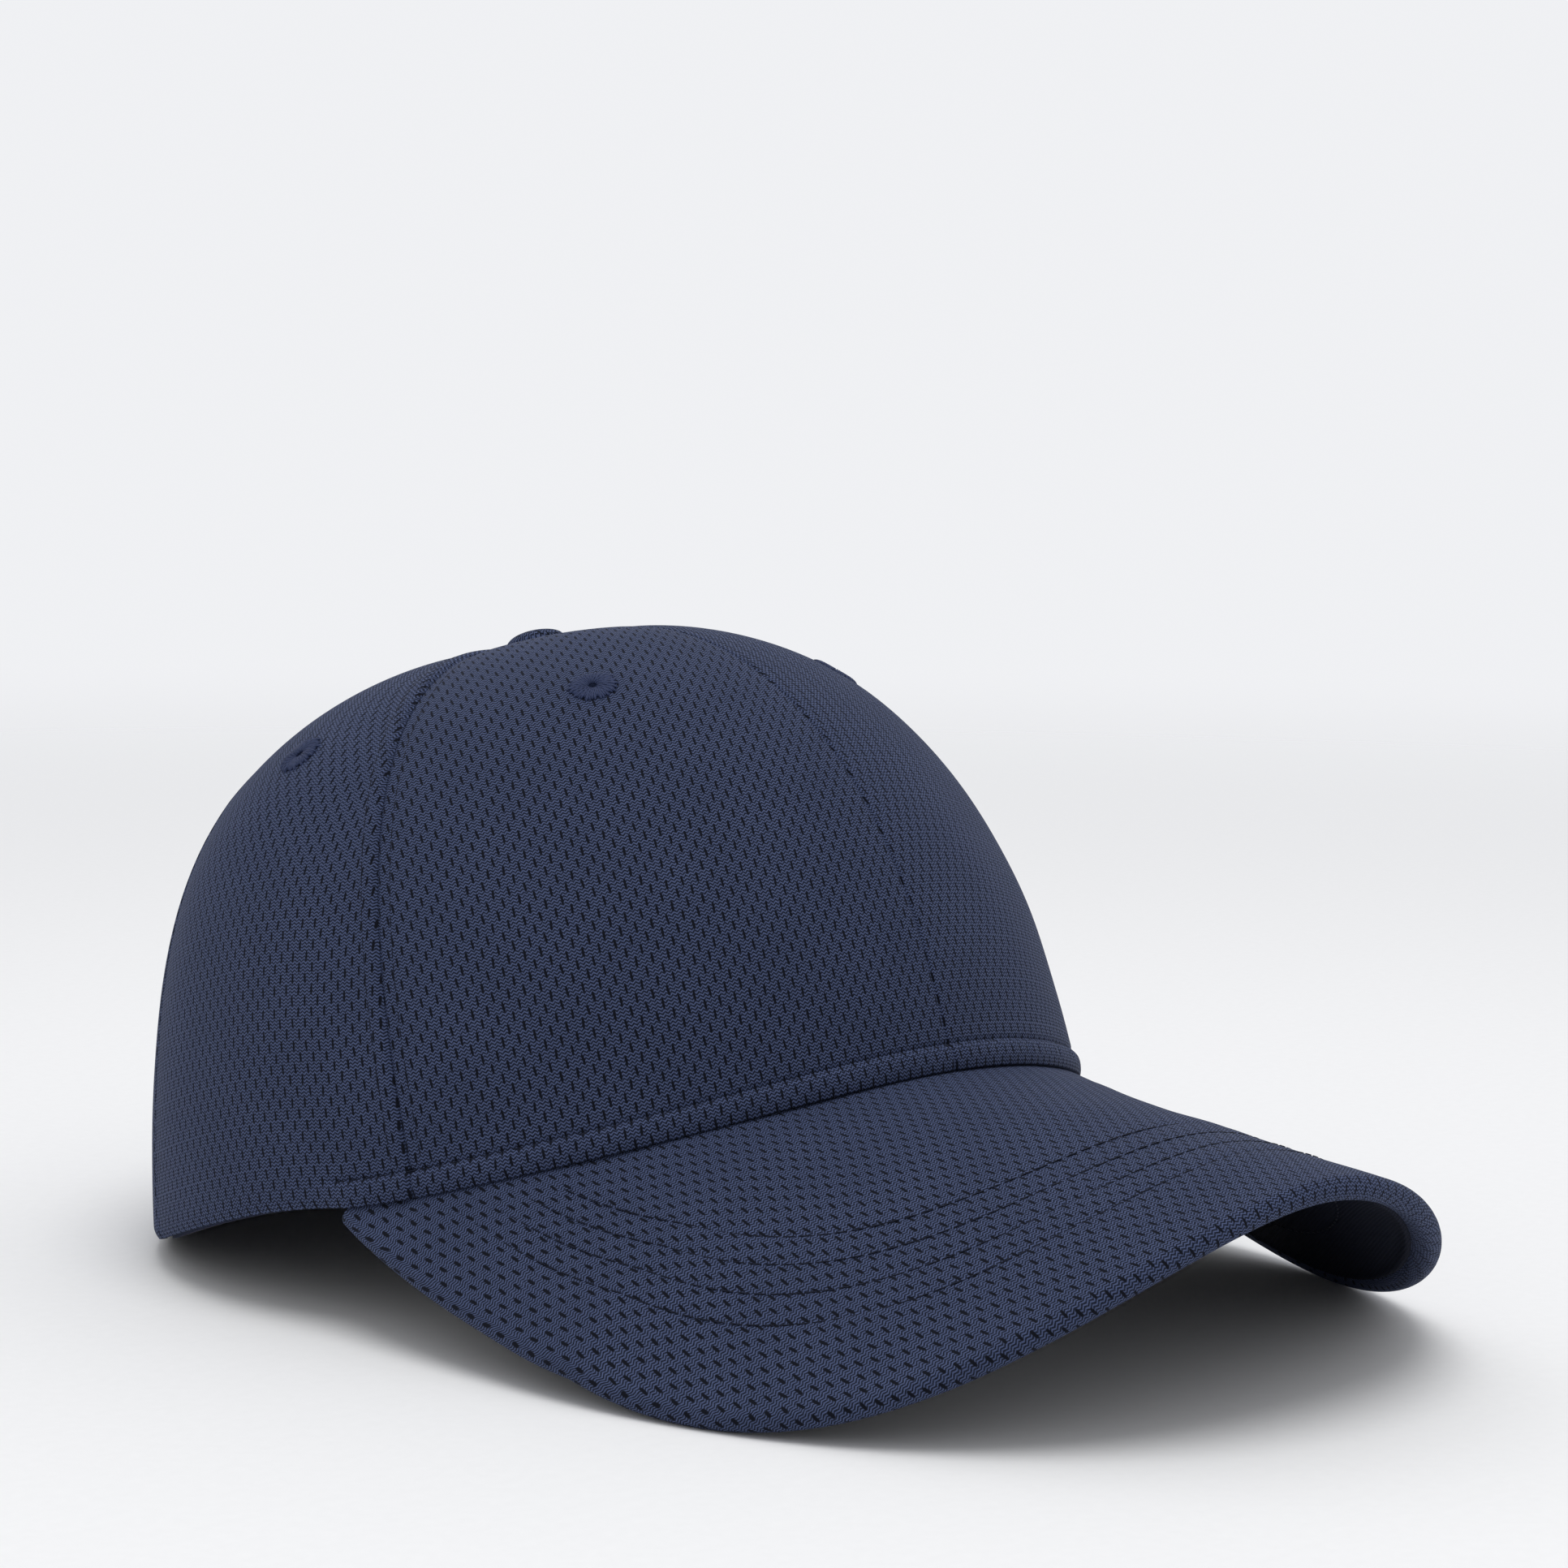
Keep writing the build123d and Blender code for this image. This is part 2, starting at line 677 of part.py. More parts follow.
def make_visor_stitching():
    """Rows of stitching that follow the visor's edge."""
    rows = []
    for number in range(STITCH_ROWS):
        distance = STITCH_FIRST + STITCH_PITCH * number
        rays = make_rays(distance + STITCH_END)
        grids = []
        for depth in THREAD_LAYER:
            grid = []
            for from_edge in (distance, distance + THREAD_WIDTH):
                places = [along_ray(*ray, share_left(*ray, from_edge)) for ray in rays]
                grid.append([visor_point(*place, depth) for place in places])
            grids.append(grid)
        rows.append(sheet(*grids))
    return Compound(children=rows)


def seam_stitching(seam):
    """Two rows of stitching, one each side of a seam."""
    top = rise_of_radius(2 * TAPE_TOP_RADIUS)
    rows = []
    for side in (-1, 1):
        def place(up, across):
            rise = blend(rise_at(seam, BAND_STITCH_HEIGHT + 2), top, up)
            distance = SEAM_STITCH_OFFSET + THREAD_WIDTH * across
            return seam + side * degrees_for(distance, rise), rise

        rows.append(crown_layer(place, THREAD_LAYER, (TAPE_GRID[0], 2)))
    return rows


def make_crown():
    """Outer panels, buckram and eyelets."""
    nodes = {}
    arch = arch_cutter()
    panels = {"front": (0, FRONT_SEAM), "side": (FRONT_SEAM, BACK_SEAM), "back": (BACK_SEAM, 180)}
    for side, sign in (("left", 1), ("right", -1)):
        for place, turns in panels.items():
            start, end = sorted(sign * turn for turn in turns)
            turn, rise = EYELETS[place]
            hole = eyelet_cutter(sign * turn, rise)
            panel = gore(start, end, PANEL, SEAM_GAP, BASE_GAP, TOP_HOLE_RADIUS)
            if place == "back":
                panel = panel - arch
            if place == "front":
                buckram = gore(start, end, BUCKRAM, BUCKRAM_EDGE, BUCKRAM_EDGE, BUCKRAM_TOP_RADIUS)
                nodes[f"buckram_{side}"] = buckram - hole
            nodes[f"{place}_panel_{side}"] = panel - hole
            nodes[f"eyelet_{place}_{side}"] = make_eyelet(sign * turn, rise)
    return nodes


def make_tapes():
    nodes = {"seam_tape_front": tape(0, FRONT_TAPE, BUCKRAM_EDGE)}
    nodes["seam_tape_back"] = tape(180, BACK_TAPE, ARCH_HEIGHT + BINDING_WIDTH + 1)
    for side, sign in (("left", 1), ("right", -1)):
        nodes[f"seam_tape_front_{side}"] = tape(sign * FRONT_SEAM, FRONT_TAPE, BUCKRAM_EDGE)
        nodes[f"seam_tape_back_{side}"] = tape(sign * BACK_SEAM, BACK_TAPE, BUCKRAM_EDGE)
    return nodes


def make_bands():
    """Sweatband, its pad and the stitching that shows round the crown's lower edge."""
    ends = (-SWEATBAND_END, SWEATBAND_END)
    stitch = (BAND_STITCH_HEIGHT, BAND_STITCH_HEIGHT + THREAD_WIDTH)
    seams = []
    for seam in (FRONT_SEAM, BACK_SEAM):
        seams += seam_stitching(seam) + seam_stitching(-seam)
    return {
        "sweatband": band(ends, (BASE_GAP, SWEATBAND_HEIGHT), SWEATBAND, SWEATBAND_GRID),
        "sweatband_pad": band((-PAD_TURN, PAD_TURN), PAD_HEIGHTS, SWEATBAND_PAD, PAD_GRID),
        "band_stitching": band((-BAND_STITCH_END, BAND_STITCH_END), stitch, THREAD_LAYER, STITCH_GRID),
        "seam_stitching": Compound(children=seams),
    }


def make_visor():
    return {
        "visor_top_cover": make_top_cover(),
        "visor_board": visor_layer(BOARD, SHORTEST_BOARD, BOARD_INSET),
        "visor_under_cover": visor_layer(UNDER_COVER, SHORTEST_BOARD, WRAP_UNDER + COVER_GAP),
        "visor_stitching": make_visor_stitching(),
    }


def make_closure():
    """Straps, patches, stitching and the binding of the back opening."""
    patch_heights = (STRAP_HEIGHTS[0] + PATCH_EDGE, STRAP_HEIGHTS[1] - PATCH_EDGE)
    return {
        "arch_binding": make_binding(),
        "hook_strap_root": strap(HOOK_ROOT, HOOK_STRAP, 5),
        "hook_strap": strap(HOOK_FREE, HOOK_STRAP, 25, free_end=True),
        "hook_patch": strap(HOOK_PATCH_TURNS, HOOK_PATCH, 13, heights=patch_heights),
        "loop_strap_root": strap(LOOP_ROOT, LOOP_STRAP, 5),
        "loop_strap": strap(LOOP_FREE, LOOP_STRAP, 25, free_end=True),
        "loop_patch": strap(LOOP_PATCH_TURNS, LOOP_PATCH, 17, heights=patch_heights),
        "hook_strap_stitching": thread_box(HOOK_ROOT, HOOK_BOX_LAYER),
        "loop_strap_stitching": thread_box(LOOP_ROOT, LOOP_BOX_LAYER),
    }


def main():
    os.makedirs("parts", exist_ok=True)
    for make in (make_crown, make_button, make_tapes, make_bands, make_visor, make_closure):
        for name, solid in make().items():
            export_step(solid, f"parts/{name}.step")


if __name__ == "__main__":
    main()
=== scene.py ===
import math

import bpy
import numpy as np
from mathutils import Matrix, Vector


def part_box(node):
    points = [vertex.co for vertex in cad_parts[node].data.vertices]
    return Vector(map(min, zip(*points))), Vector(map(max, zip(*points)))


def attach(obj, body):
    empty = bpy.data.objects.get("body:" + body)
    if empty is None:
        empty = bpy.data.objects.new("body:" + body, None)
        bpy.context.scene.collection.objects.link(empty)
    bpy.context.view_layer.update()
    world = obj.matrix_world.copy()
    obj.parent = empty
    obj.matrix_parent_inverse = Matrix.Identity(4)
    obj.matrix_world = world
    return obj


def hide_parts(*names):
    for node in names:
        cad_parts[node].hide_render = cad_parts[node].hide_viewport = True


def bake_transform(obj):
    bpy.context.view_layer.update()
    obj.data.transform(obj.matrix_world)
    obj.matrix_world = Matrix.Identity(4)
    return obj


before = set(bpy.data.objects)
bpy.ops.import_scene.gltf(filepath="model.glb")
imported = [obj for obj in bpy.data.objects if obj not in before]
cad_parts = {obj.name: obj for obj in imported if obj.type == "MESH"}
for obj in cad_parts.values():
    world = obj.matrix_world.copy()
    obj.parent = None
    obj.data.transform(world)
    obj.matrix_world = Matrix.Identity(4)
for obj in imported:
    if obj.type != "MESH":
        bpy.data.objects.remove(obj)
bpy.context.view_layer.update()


# ---------------------------------------------------------------------------------------------------
# Visor shape. The visor is a board bent across its width and sloping forwards, and the crown is sewn
# along its inner edge. x runs across it and reach runs forwards from the crown's front, in millimetres,
# and depths go down from its upper surface.

OUTLINE = {"half_width": 92.0, "front": 95.8, "back": 92.8, "power": 1.96, "taper": -0.073}
PITCH = math.radians(20.0)
VISOR_SLOPE = math.radians(23.8)
VISOR_START = -7.8
VISOR_HALF_WIDTH = 89.4
VISOR_REACH = 86.0
VISOR_WIDEST = -16.3
VISOR_CORNER = 74.9
VISOR_THICKNESS = 4.4
VISOR_SIDE_POWER = 2.32
VISOR_FRONT_POWER = 2.14
CORNER_PULL = (0.58, 0.42)
REACH_SPAN = 70.0
BEND = (0.0041, 0.0037)
CURL = (4.9, 13.1)
CURL_SPAN = 80.0
WAVE = (4.3, 5.0)
WAVE_WIDTH = 90.0
WAVE_LENGTH = 84.0


def blend(low, high, share):
    return low + (high - low) * share


def signed_power(value, power):
    return np.sign(value) * np.abs(value) ** power


def unit(vectors):
    return vectors / np.maximum(np.linalg.norm(vectors, axis=-1, keepdims=True), 1e-9)


def outline(turn):
    """x and y of the crown's lower edge at these turns, in degrees from the front to the wearer's left."""
    side = signed_power(np.sin(np.radians(turn)), 2 / OUTLINE["power"])
    front = signed_power(np.cos(np.radians(turn)), 2 / OUTLINE["power"])
    length = np.where(front > 0, OUTLINE["front"], OUTLINE["back"])
    return OUTLINE["half_width"] * side * (1 + OUTLINE["taper"] * front), -length * front


def visor_drop(x, reach):
    """How far the visor has dropped below its flat, sloping middle line."""
    share = reach / REACH_SPAN
    bend = (BEND[0] + BEND[1] * share) * x**2
    curl = (CURL[0] - CURL[1] * share) * (x / CURL_SPAN) ** 4
    middle = np.maximum(1 - (x / WAVE_WIDTH) ** 2, 0) ** 2
    wave = np.sin(np.pi * np.clip(reach / WAVE_LENGTH, 0, 1))
    return bend + curl + (WAVE[0] - WAVE[1] * middle) * wave


def visor_top(x, reach):
    drop = visor_drop(x, reach)
    y = -OUTLINE["front"] - reach * math.cos(VISOR_SLOPE) + drop * math.sin(VISOR_SLOPE)
    z = VISOR_START - reach * math.sin(VISOR_SLOPE) - drop * math.cos(VISOR_SLOPE)
    return np.stack([x + 0 * z, y, z], -1)


def visor_normal(x, reach):
    across = visor_top(x + 0.5, reach) - visor_top(x - 0.5, reach)
    along = visor_top(x, reach + 0.5) - visor_top(x, reach - 0.5)
    normal = unit(np.cross(along, across))
    return normal * np.sign(normal[..., 2:3])


def visor_point(x, reach, depth=0.0):
    return visor_top(x, reach) - visor_normal(x, reach) * np.asarray(depth)[..., None]


def reach_at(x, y):
    reach = np.zeros_like(x)
    for _ in range(12):
        reach = (visor_drop(x, reach) * math.sin(VISOR_SLOPE) - OUTLINE["front"] - y) / math.cos(VISOR_SLOPE)
    return reach


def evenly(points, count):
    """count points at equal distances along a line of points."""
    gone = np.concatenate([[0], np.cumsum(np.linalg.norm(np.diff(points, axis=0), axis=1))])
    wanted = np.linspace(0, gone[-1], count)
    return np.stack([np.interp(wanted, gone, column) for column in points.T], -1)


def visor_edge(count):
    """x and reach along the middle of the rolled edge, from the wearer's right to the left."""
    angle = np.radians(np.linspace(0, 90, 181))
    x = VISOR_HALF_WIDTH * np.sin(angle) ** (2 / VISOR_SIDE_POWER)
    reach = blend(VISOR_WIDEST, VISOR_REACH, np.abs(np.cos(angle)) ** (2 / VISOR_FRONT_POWER))
    corner_x, corner_y = outline(np.array([VISOR_CORNER]))
    share = np.linspace(0, 1, 61)[1:]
    pull = CORNER_PULL[0] * share**2 + CORNER_PULL[1] * share**4
    x = np.concatenate([x, blend(VISOR_HALF_WIDTH, corner_x, pull)])
    reach = np.concatenate([reach, blend(VISOR_WIDEST, reach_at(corner_x, corner_y), share)])
    half = np.stack([x, reach], -1)
    return evenly(np.concatenate([half[:0:-1] * [-1, 1], half]), count)


def visor_root(count, tuck):
    """x and reach along the inner edge, tucked this far inside the crown."""
    x, y = outline(np.linspace(-VISOR_CORNER, VISOR_CORNER, 241))
    keep = 1 - tuck / OUTLINE["half_width"]
    return evenly(np.stack([x * keep, reach_at(x * keep, y * keep)], -1), count)


def pitched(points):
    y = points[..., 1] * math.cos(PITCH) + points[..., 2] * math.sin(PITCH)
    z = points[..., 2] * math.cos(PITCH) - points[..., 1] * math.sin(PITCH)
    return np.stack([points[..., 0], y, z], -1)


RIM_PLACES = visor_edge(361)
RIM_MIDDLE = pitched(visor_point(RIM_PLACES[:, 0], RIM_PLACES[:, 1], VISOR_THICKNESS / 2))
FLOOR = RIM_MIDDLE[:, 2].min() - VISOR_THICKNESS / 2
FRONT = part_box("visor_top_cover")[0][1] * 1000 + VISOR_THICKNESS / 2
MIDDLE = RIM_MIDDLE[:, 1].min() - FRONT


def settle(points):
    """From the crown's own frame in millimetres to the cap's frame in metres."""
    return (pitched(points) - [0, MIDDLE, FLOOR]) / 1000


# ---------------------------------------------------------------------------------------------------
# Crown shape. One curved surface that every layer of the crown follows: turn goes round it in degrees
# and rise goes from 0 at the lower edge to 1 at the button. Depths go inwards.

CROWN_HEIGHT = 98.5
BUTTON_Y = -6.9
TURN_IN_POWER = 2.43
CLIMB_POWER = 2.34
CLIMB_POWER_FRONT = 0.23
BULGE = -0.021
BULGE_FRONT = 0.031
BULGE_TOP = 0.8
CREST = 1.3
CREST_WIDTH = 0.28
LEAN = 4.6
PUFF_FRONT = 0.5
PUFF_BEHIND = 1.5
FRONT_SEAM = 66.5
BACK_SEAM = 118.0
REST_TURN = 140.0


def visor_level(turn):
    x, y = outline(np.asarray(turn, float))
    return pitched(visor_top(x, reach_at(x, y)))[..., 2] - FLOOR


CORNER_LEVEL = visor_level(VISOR_CORNER)
CORNER_SLOPE = (CORNER_LEVEL - visor_level(VISOR_CORNER - 1)) * (REST_TURN - VISOR_CORNER) * 0.6


def base_height(turn):
    """Height of the crown's lower edge: on the visor in front, falling to rest on the floor behind."""
    angle = np.abs((turn + 180) % 360 - 180)
    x, y = outline(angle)
    on_visor = visor_top(x, reach_at(x, y))[..., 2]
    share = np.clip((angle - VISOR_CORNER) / (REST_TURN - VISOR_CORNER), 0, 1)
    fall = (2 * share**3 - 3 * share**2 + 1) * CORNER_LEVEL
    lead = (share**3 - 2 * share**2 + share) * CORNER_SLOPE
    behind = (FLOOR + np.maximum(fall + lead, 0) + y * math.sin(PITCH)) / math.cos(PITCH)
    return np.where(angle <= VISOR_CORNER, on_visor, behind)


def puff_at(turn):
    angle = np.abs((turn + 180) % 360 - 180)
    share = np.interp(angle, (0, FRONT_SEAM, BACK_SEAM, 180), (0, 1, 2, 3)) % 1
    return np.where(angle < FRONT_SEAM, PUFF_FRONT, PUFF_BEHIND) * 4 * share * (1 - share)


def climb_power(turn):
    return CLIMB_POWER + CLIMB_POWER_FRONT * np.cos(np.radians(turn))


def crown_surface(turn, rise):
    turn, rise = np.broadcast_arrays(np.asarray(turn, float), np.asarray(rise, float))
    edge_x, edge_y = outline(turn)
    front = np.cos(np.radians(turn))
    angle = rise * math.pi / 2
    height = np.sin(np.maximum(angle, 0)) ** (2 / climb_power(turn))
    width = np.maximum(np.cos(angle), 0) ** (2 / TURN_IN_POWER)
    bulge = (BULGE + BULGE_FRONT * front) * np.sin(np.pi * np.minimum(height / BULGE_TOP, 1))
    wide = width * (1 + bulge)
    crest = CREST * height**3 * (1 - np.exp(-((width / CREST_WIDTH) ** 2))) * (1 + front) / 2
    z = blend(base_height(turn), CROWN_HEIGHT, height) - LEAN * front * width * height + crest
    point = np.stack([edge_x * wide, BUTTON_Y + (edge_y - BUTTON_Y) * wide, z], -1)
    outward = unit(point - [0, BUTTON_Y, 30.0])
    return point + outward * (puff_at(turn) * np.sin(np.pi * np.clip(rise, 0, 1)) ** 0.8)[..., None]


def crown_normal(turn, rise):
    low = np.clip(rise, 0.004, 0.995)
    round_it = crown_surface(turn + 0.2, low) - crown_surface(turn - 0.2, low)
    up_it = crown_surface(turn, low + 0.003) - crown_surface(turn, low - 0.003)
    return unit(np.cross(round_it, up_it))


def crown_point(turn, rise, depth=0.0):
    return crown_surface(turn, rise) - crown_normal(turn, rise) * np.asarray(depth)[..., None]


def rise_at(turn, height):
    """Rise of the point this far above the crown's lower edge."""
    share = np.maximum(height, 0) / (CROWN_HEIGHT - base_height(turn))
    return np.arcsin(share ** (climb_power(turn) / 2)) * 2 / math.pi


def radius_at(rise):
    return OUTLINE["half_width"] * np.cos(rise * math.pi / 2) ** (2 / TURN_IN_POWER)


def rise_of_radius(radius):
    return math.acos((radius / OUTLINE["half_width"]) ** (TURN_IN_POWER / 2)) * 2 / math.pi


def degrees_for(length, rise):
    return np.degrees(length / radius_at(rise))


def ripple(x, y, size, seed=0.0):
    """Gentle unevenness from -1 to 1 with lumps about this size across, the same every time."""
    a, b = x / size * 2 * math.pi, y / size * 2 * math.pi
    waves = np.sin(a * 0.83 + b * 0.31 + 1.3 + seed) + np.sin(b * 0.91 - a * 0.42 + 4.1 + 2 * seed)
    return (waves + np.sin(a * 0.37 + b * 1.27 + 2.2 + 3 * seed) * np.cos(b * 0.53 + seed)) / 3


# ---------------------------------------------------------------------------------------------------
# Front, side and back panels. Six gores of navy polyester sports mesh, cut with the knit's ribs along
# each gore's middle line. They are joined edge to edge, so the cloth rolls down into every seam, and the
# lower edge is a soft roll held by one row of topstitching.

PANEL_THICKNESS = 0.9
EDGE_GAP = 0.35
FINE_TOP = 9.5
BAND_TOP = 14.0
PANEL_TOP_RADIUS = 2.2
PANEL_COLUMNS = 191
PANEL_ROWS = 96
BAND_STITCH_HEIGHT = 5.2
SEAM_STITCH_OFFSET = 2.5
ARCH_HALF_TURN = 27.0
ARCH_HEIGHT = 50.0
EYELETS = {"front": (32.5, 0.57), "side": (87.0, 0.58), "back": (149.0, 0.57)}
PUNCHED_RADIUS = 0.9
HOLE_ACROSS = 2.85
HOLE_ALONG = 2.1
SLIT_WIDTH = 0.42
SLIT_LENGTH = 2.0
COURSE_PITCH = 0.65
ZIGZAG_HALF = 0.475


def linear(code, alpha=1.0):
    """sRGB hex code to linear colour."""
    parts = [int(code[i:i + 2], 16) / 255 for i in (1, 3, 5)]
    return (*[p / 12.92 if p <= 0.04045 else ((p + 0.055) / 1.055) ** 2.4 for p in parts], alpha)


def connect(tree, node, inputs):
    """Sets or links a node's inputs. Another node stands for its own first output."""
    for key, value in inputs.items():
        if isinstance(value, bpy.types.Node):
            value = value.outputs[0]
        if isinstance(value, bpy.types.NodeSocket):
            tree.links.new(value, node.inputs[key])
        else:
            node.inputs[key].default_value = value


def add(tree, kind, inputs=None, **settings):
    """Adds a node with its settings, and sets or links its inputs."""
    made = tree.nodes.new(kind)
    for key, value in settings.items():
        setattr(made, key, value)
    connect(tree, made, inputs or {})
    return made


def new_material(name):
    """An empty material with its tree, its shader and its cloth-grain coordinates in millimetres."""
    material = bpy.data.materials.new(name)
    material.use_nodes = True
    tree = material.node_tree
    grain = add(tree, "ShaderNodeUVMap", uv_map="grain")
    parts = add(tree, "ShaderNodeSeparateXYZ", {0: grain})
    shader = tree.nodes["Principled BSDF"]
    return material, tree, shader, grain.outputs[0], parts.outputs[0], parts.outputs[1]


def sports_mesh():
    """Knitted polyester mesh: fine zigzag courses, with short upright slits in staggered columns.

    Each slit is painted near-black as the shade inside the hole, the yarn is painted darker where it lies
    low, as shade between the courses, and the yarn is faintly fuzzy and uneven."""
    material, tree, shader, grain, across, along = new_material("polyester_sports_mesh")
    wander = add(tree, "ShaderNodeTexNoise", {"Vector": grain, "Scale": 0.35, "Detail": 1.0})
    drift = add(tree, "ShaderNodeMath", {0: wander, 1: 0.5, 2: across}, operation="MULTIPLY_ADD")
    rows = add(tree, "ShaderNodeMath", {0: along, 1: HOLE_ALONG}, operation="DIVIDE")
    row = add(tree, "ShaderNodeMath", {0: rows}, operation="FLOOR")
    odd = add(tree, "ShaderNodeMath", {0: row, 1: 2.0}, operation="FLOORED_MODULO")
    half = add(tree, "ShaderNodeMath", {0: odd, 1: 0.5}, operation="MULTIPLY")
    columns = add(tree, "ShaderNodeMath", {0: drift, 1: HOLE_ACROSS}, operation="DIVIDE")
    shifted = add(tree, "ShaderNodeMath", {0: columns, 1: half}, operation="ADD")
    powers = []
    slit_axes = ((shifted, HOLE_ACROSS, SLIT_WIDTH, 2.0), (rows, HOLE_ALONG, SLIT_LENGTH, 4.0))
    for place, pitch, size, power in slit_axes:
        share = add(tree, "ShaderNodeMath", {0: place}, operation="FRACT")
        centred = add(tree, "ShaderNodeMath", {0: share, 1: 0.5}, operation="SUBTRACT")
        scaled = add(tree, "ShaderNodeMath", {0: centred, 1: 2 * pitch / size}, operation="MULTIPLY")
        positive = add(tree, "ShaderNodeMath", {0: scaled}, operation="ABSOLUTE")
        powers.append(add(tree, "ShaderNodeMath", {0: positive, 1: power}, operation="POWER"))
    total = add(tree, "ShaderNodeMath", {0: powers[0], 1: powers[1]}, operation="ADD")
    slit = add(tree, "ShaderNodeMapRange", {"Value": total, "From Min": 1.6, "From Max": 0.5,
                                            "To Min": 0.0, "To Max": 1.0}, interpolation_type="SMOOTHSTEP")
    # The courses: rows of loops that zigzag across the cloth
    swing = add(tree, "ShaderNodeMath", {0: drift, 1: ZIGZAG_HALF}, operation="PINGPONG")
    lean = add(tree, "ShaderNodeMath", {0: swing, 1: 0.9, 2: along}, operation="MULTIPLY_ADD")
    turns = add(tree, "ShaderNodeMath", {0: lean, 1: 2 * math.pi / COURSE_PITCH}, operation="MULTIPLY")
    course = add(tree, "ShaderNodeMath", {0: turns}, operation="SINE")
    fuzz = add(tree, "ShaderNodeTexNoise", {"Vector": grain, "Scale": 2.6, "Detail": 3.0, "Roughness": 0.7})
    uneven = add(tree, "ShaderNodeMath", {0: fuzz, 1: 1.5, 2: -0.2}, operation="MULTIPLY_ADD")
    yarn_height = add(tree, "ShaderNodeMath", {0: course, 1: 0.55, 2: uneven},
                      operation="MULTIPLY_ADD", use_clamp=True)
    closed = add(tree, "ShaderNodeMath", {0: 1.0, 1: slit}, operation="SUBTRACT")
    height = add(tree, "ShaderNodeMath", {0: yarn_height, 1: closed}, operation="MULTIPLY")
    cloud = add(tree, "ShaderNodeTexNoise", {"Vector": grain, "Scale": 0.06, "Detail": 3.0})
    yarn = add(tree, "ShaderNodeMix", {0: cloud, 6: linear("#445072"), 7: linear("#525e82")},
               data_type="RGBA")
    # Painted shade: the yarn is coloured towards near-black where it lies low, between the courses and in
    # the fuzz's low patches.
    yarn_with_groove_shade = add(tree, "ShaderNodeMix", {0: yarn_height, 6: linear("#0e121e"), 7: yarn.outputs[2]},
                 data_type="RGBA")
    # Painted shade: each slit is coloured near-black for the shade inside the hole.
    shaded = add(tree, "ShaderNodeMix", {0: slit, 6: yarn_with_groove_shade.outputs[2], 7: linear("#0a0d17")},
                 data_type="RGBA")
    rough = add(tree, "ShaderNodeMapRange", {"Value": height, "To Min": 0.95, "To Max": 0.62})
    bump = add(tree, "ShaderNodeBump", {"Strength": 0.8, "Distance": 0.0003, "Height": height})
    connect(tree, shader, {"Base Color": shaded.outputs[2], "Roughness": rough, "Normal": bump,
                           "Specular IOR Level": 0.15, "Sheen Weight": 0.1, "Sheen Roughness": 0.5,
                           "Sheen Tint": linear("#8d9ac4")})
    return material


MESH_KNIT = sports_mesh()


def make_piece(name, points, faces, grain, material):
    """A piece of the cap from points in the crown's frame; grain is each point's place on its cloth."""
    mesh = bpy.data.meshes.new(name)
    mesh.from_pydata(settle(points).tolist(), [], faces if isinstance(faces, list) else faces.tolist())
    layer = mesh.uv_layers.new(name="grain")
    corners = np.empty(len(mesh.loops), int)
    mesh.loops.foreach_get("vertex_index", corners)
    layer.data.foreach_set("uv", grain[corners].astype(np.float32).ravel())
    mesh.shade_smooth()
    mesh.materials.append(material)
    piece = bpy.data.objects.new(name, mesh)
    bpy.context.scene.collection.objects.link(piece)
    return piece


def grid_faces(rows, columns, first=0, flip=False):
    low = first + np.arange(rows - 1)[:, None] * columns + np.arange(columns - 1)[None]
    quads = np.stack([low, low + 1, low + columns + 1, low + columns], -1).reshape(-1, 4)
    return quads[:, ::-1] if flip else quads


def ring_of(rows, columns):
    """Indices of a grid's border, in order round it."""
    index = np.arange(rows * columns).reshape(rows, columns)
    return np.concatenate([index[0, :-1], index[:-1, -1], index[-1, :0:-1], index[:0:-1, 0]])


def sewn(name, outer, inner, grain, material, slot):
    """Closed piece of cloth between two grids of points."""
    rows, columns = outer.shape[:2]
    count = rows * columns
    border = ring_of(rows, columns)
    after = np.roll(border, -1)
    walls = np.stack([after, border, border + count, after + count], -1)
    faces = np.concatenate([grid_faces(rows, columns), grid_faces(rows, columns, count, True), walls])
    points = np.concatenate([outer.reshape(-1, 3), inner.reshape(-1, 3)])
    middle = np.cross(outer[0, 1] - outer[0, 0], outer[1, 0] - outer[0, 0])
    if middle @ (outer[0, 0] - inner[0, 0]) < 0:
        faces = faces[:, ::-1]
    both = np.concatenate([grain.reshape(-1, 2)] * 2)
    return make_piece(name, points, faces, both, material)


def bell(distance, width):
    return np.exp(-((distance / width) ** 2))


def panel_relief(turn, height, start_gap, end_gap, kinds):
    """How far the cloth stands proud: a plain seam in front, rolled seams behind it, and the band."""
    relief = np.zeros_like(turn)
    for gap, kind in zip((start_gap, end_gap), kinds):
        if kind == "centre":
            relief -= 0.35 * bell(gap, 0.45) + 0.1 * bell(gap, 2.5)
        if kind == "under":
            relief -= 0.5 * bell(gap, 0.45) + 0.25 * bell(gap - 1.2, 2.0)
        if kind == "over":
            relief += 0.42 * bell(gap - 1.7, 1.5) - 0.5 * bell(gap, 0.35)
    over_visor = 1 / (1 + np.exp((np.abs(turn) - VISOR_CORNER - 1.5) / 0.8))
    band = np.sin(np.pi * np.clip(height / BAND_STITCH_HEIGHT, 0, 1)) ** 0.5
    relief += band * 1.05 * over_visor
    relief -= 0.4 * bell(height - BAND_STITCH_HEIGHT - 0.1, 0.5) * over_visor
    return relief - 1.2 * np.clip(1 - height / 3, 0, 1) ** 2 * (1 - over_visor)


def band_pucker(turn, height):
    """Small gathers where the stitching pulls the puffed band together."""
    arc = np.radians(turn) * OUTLINE["half_width"]
    pull = np.sin(arc * 1.62 + 0.7) + 0.7 * np.sin(arc * 1.13 + 2.1) + 0.5 * np.sin(arc * 0.37)
    return 0.07 * pull * bell(height - 4.2, 2.4) * (np.abs(turn) < VISOR_CORNER + 2)


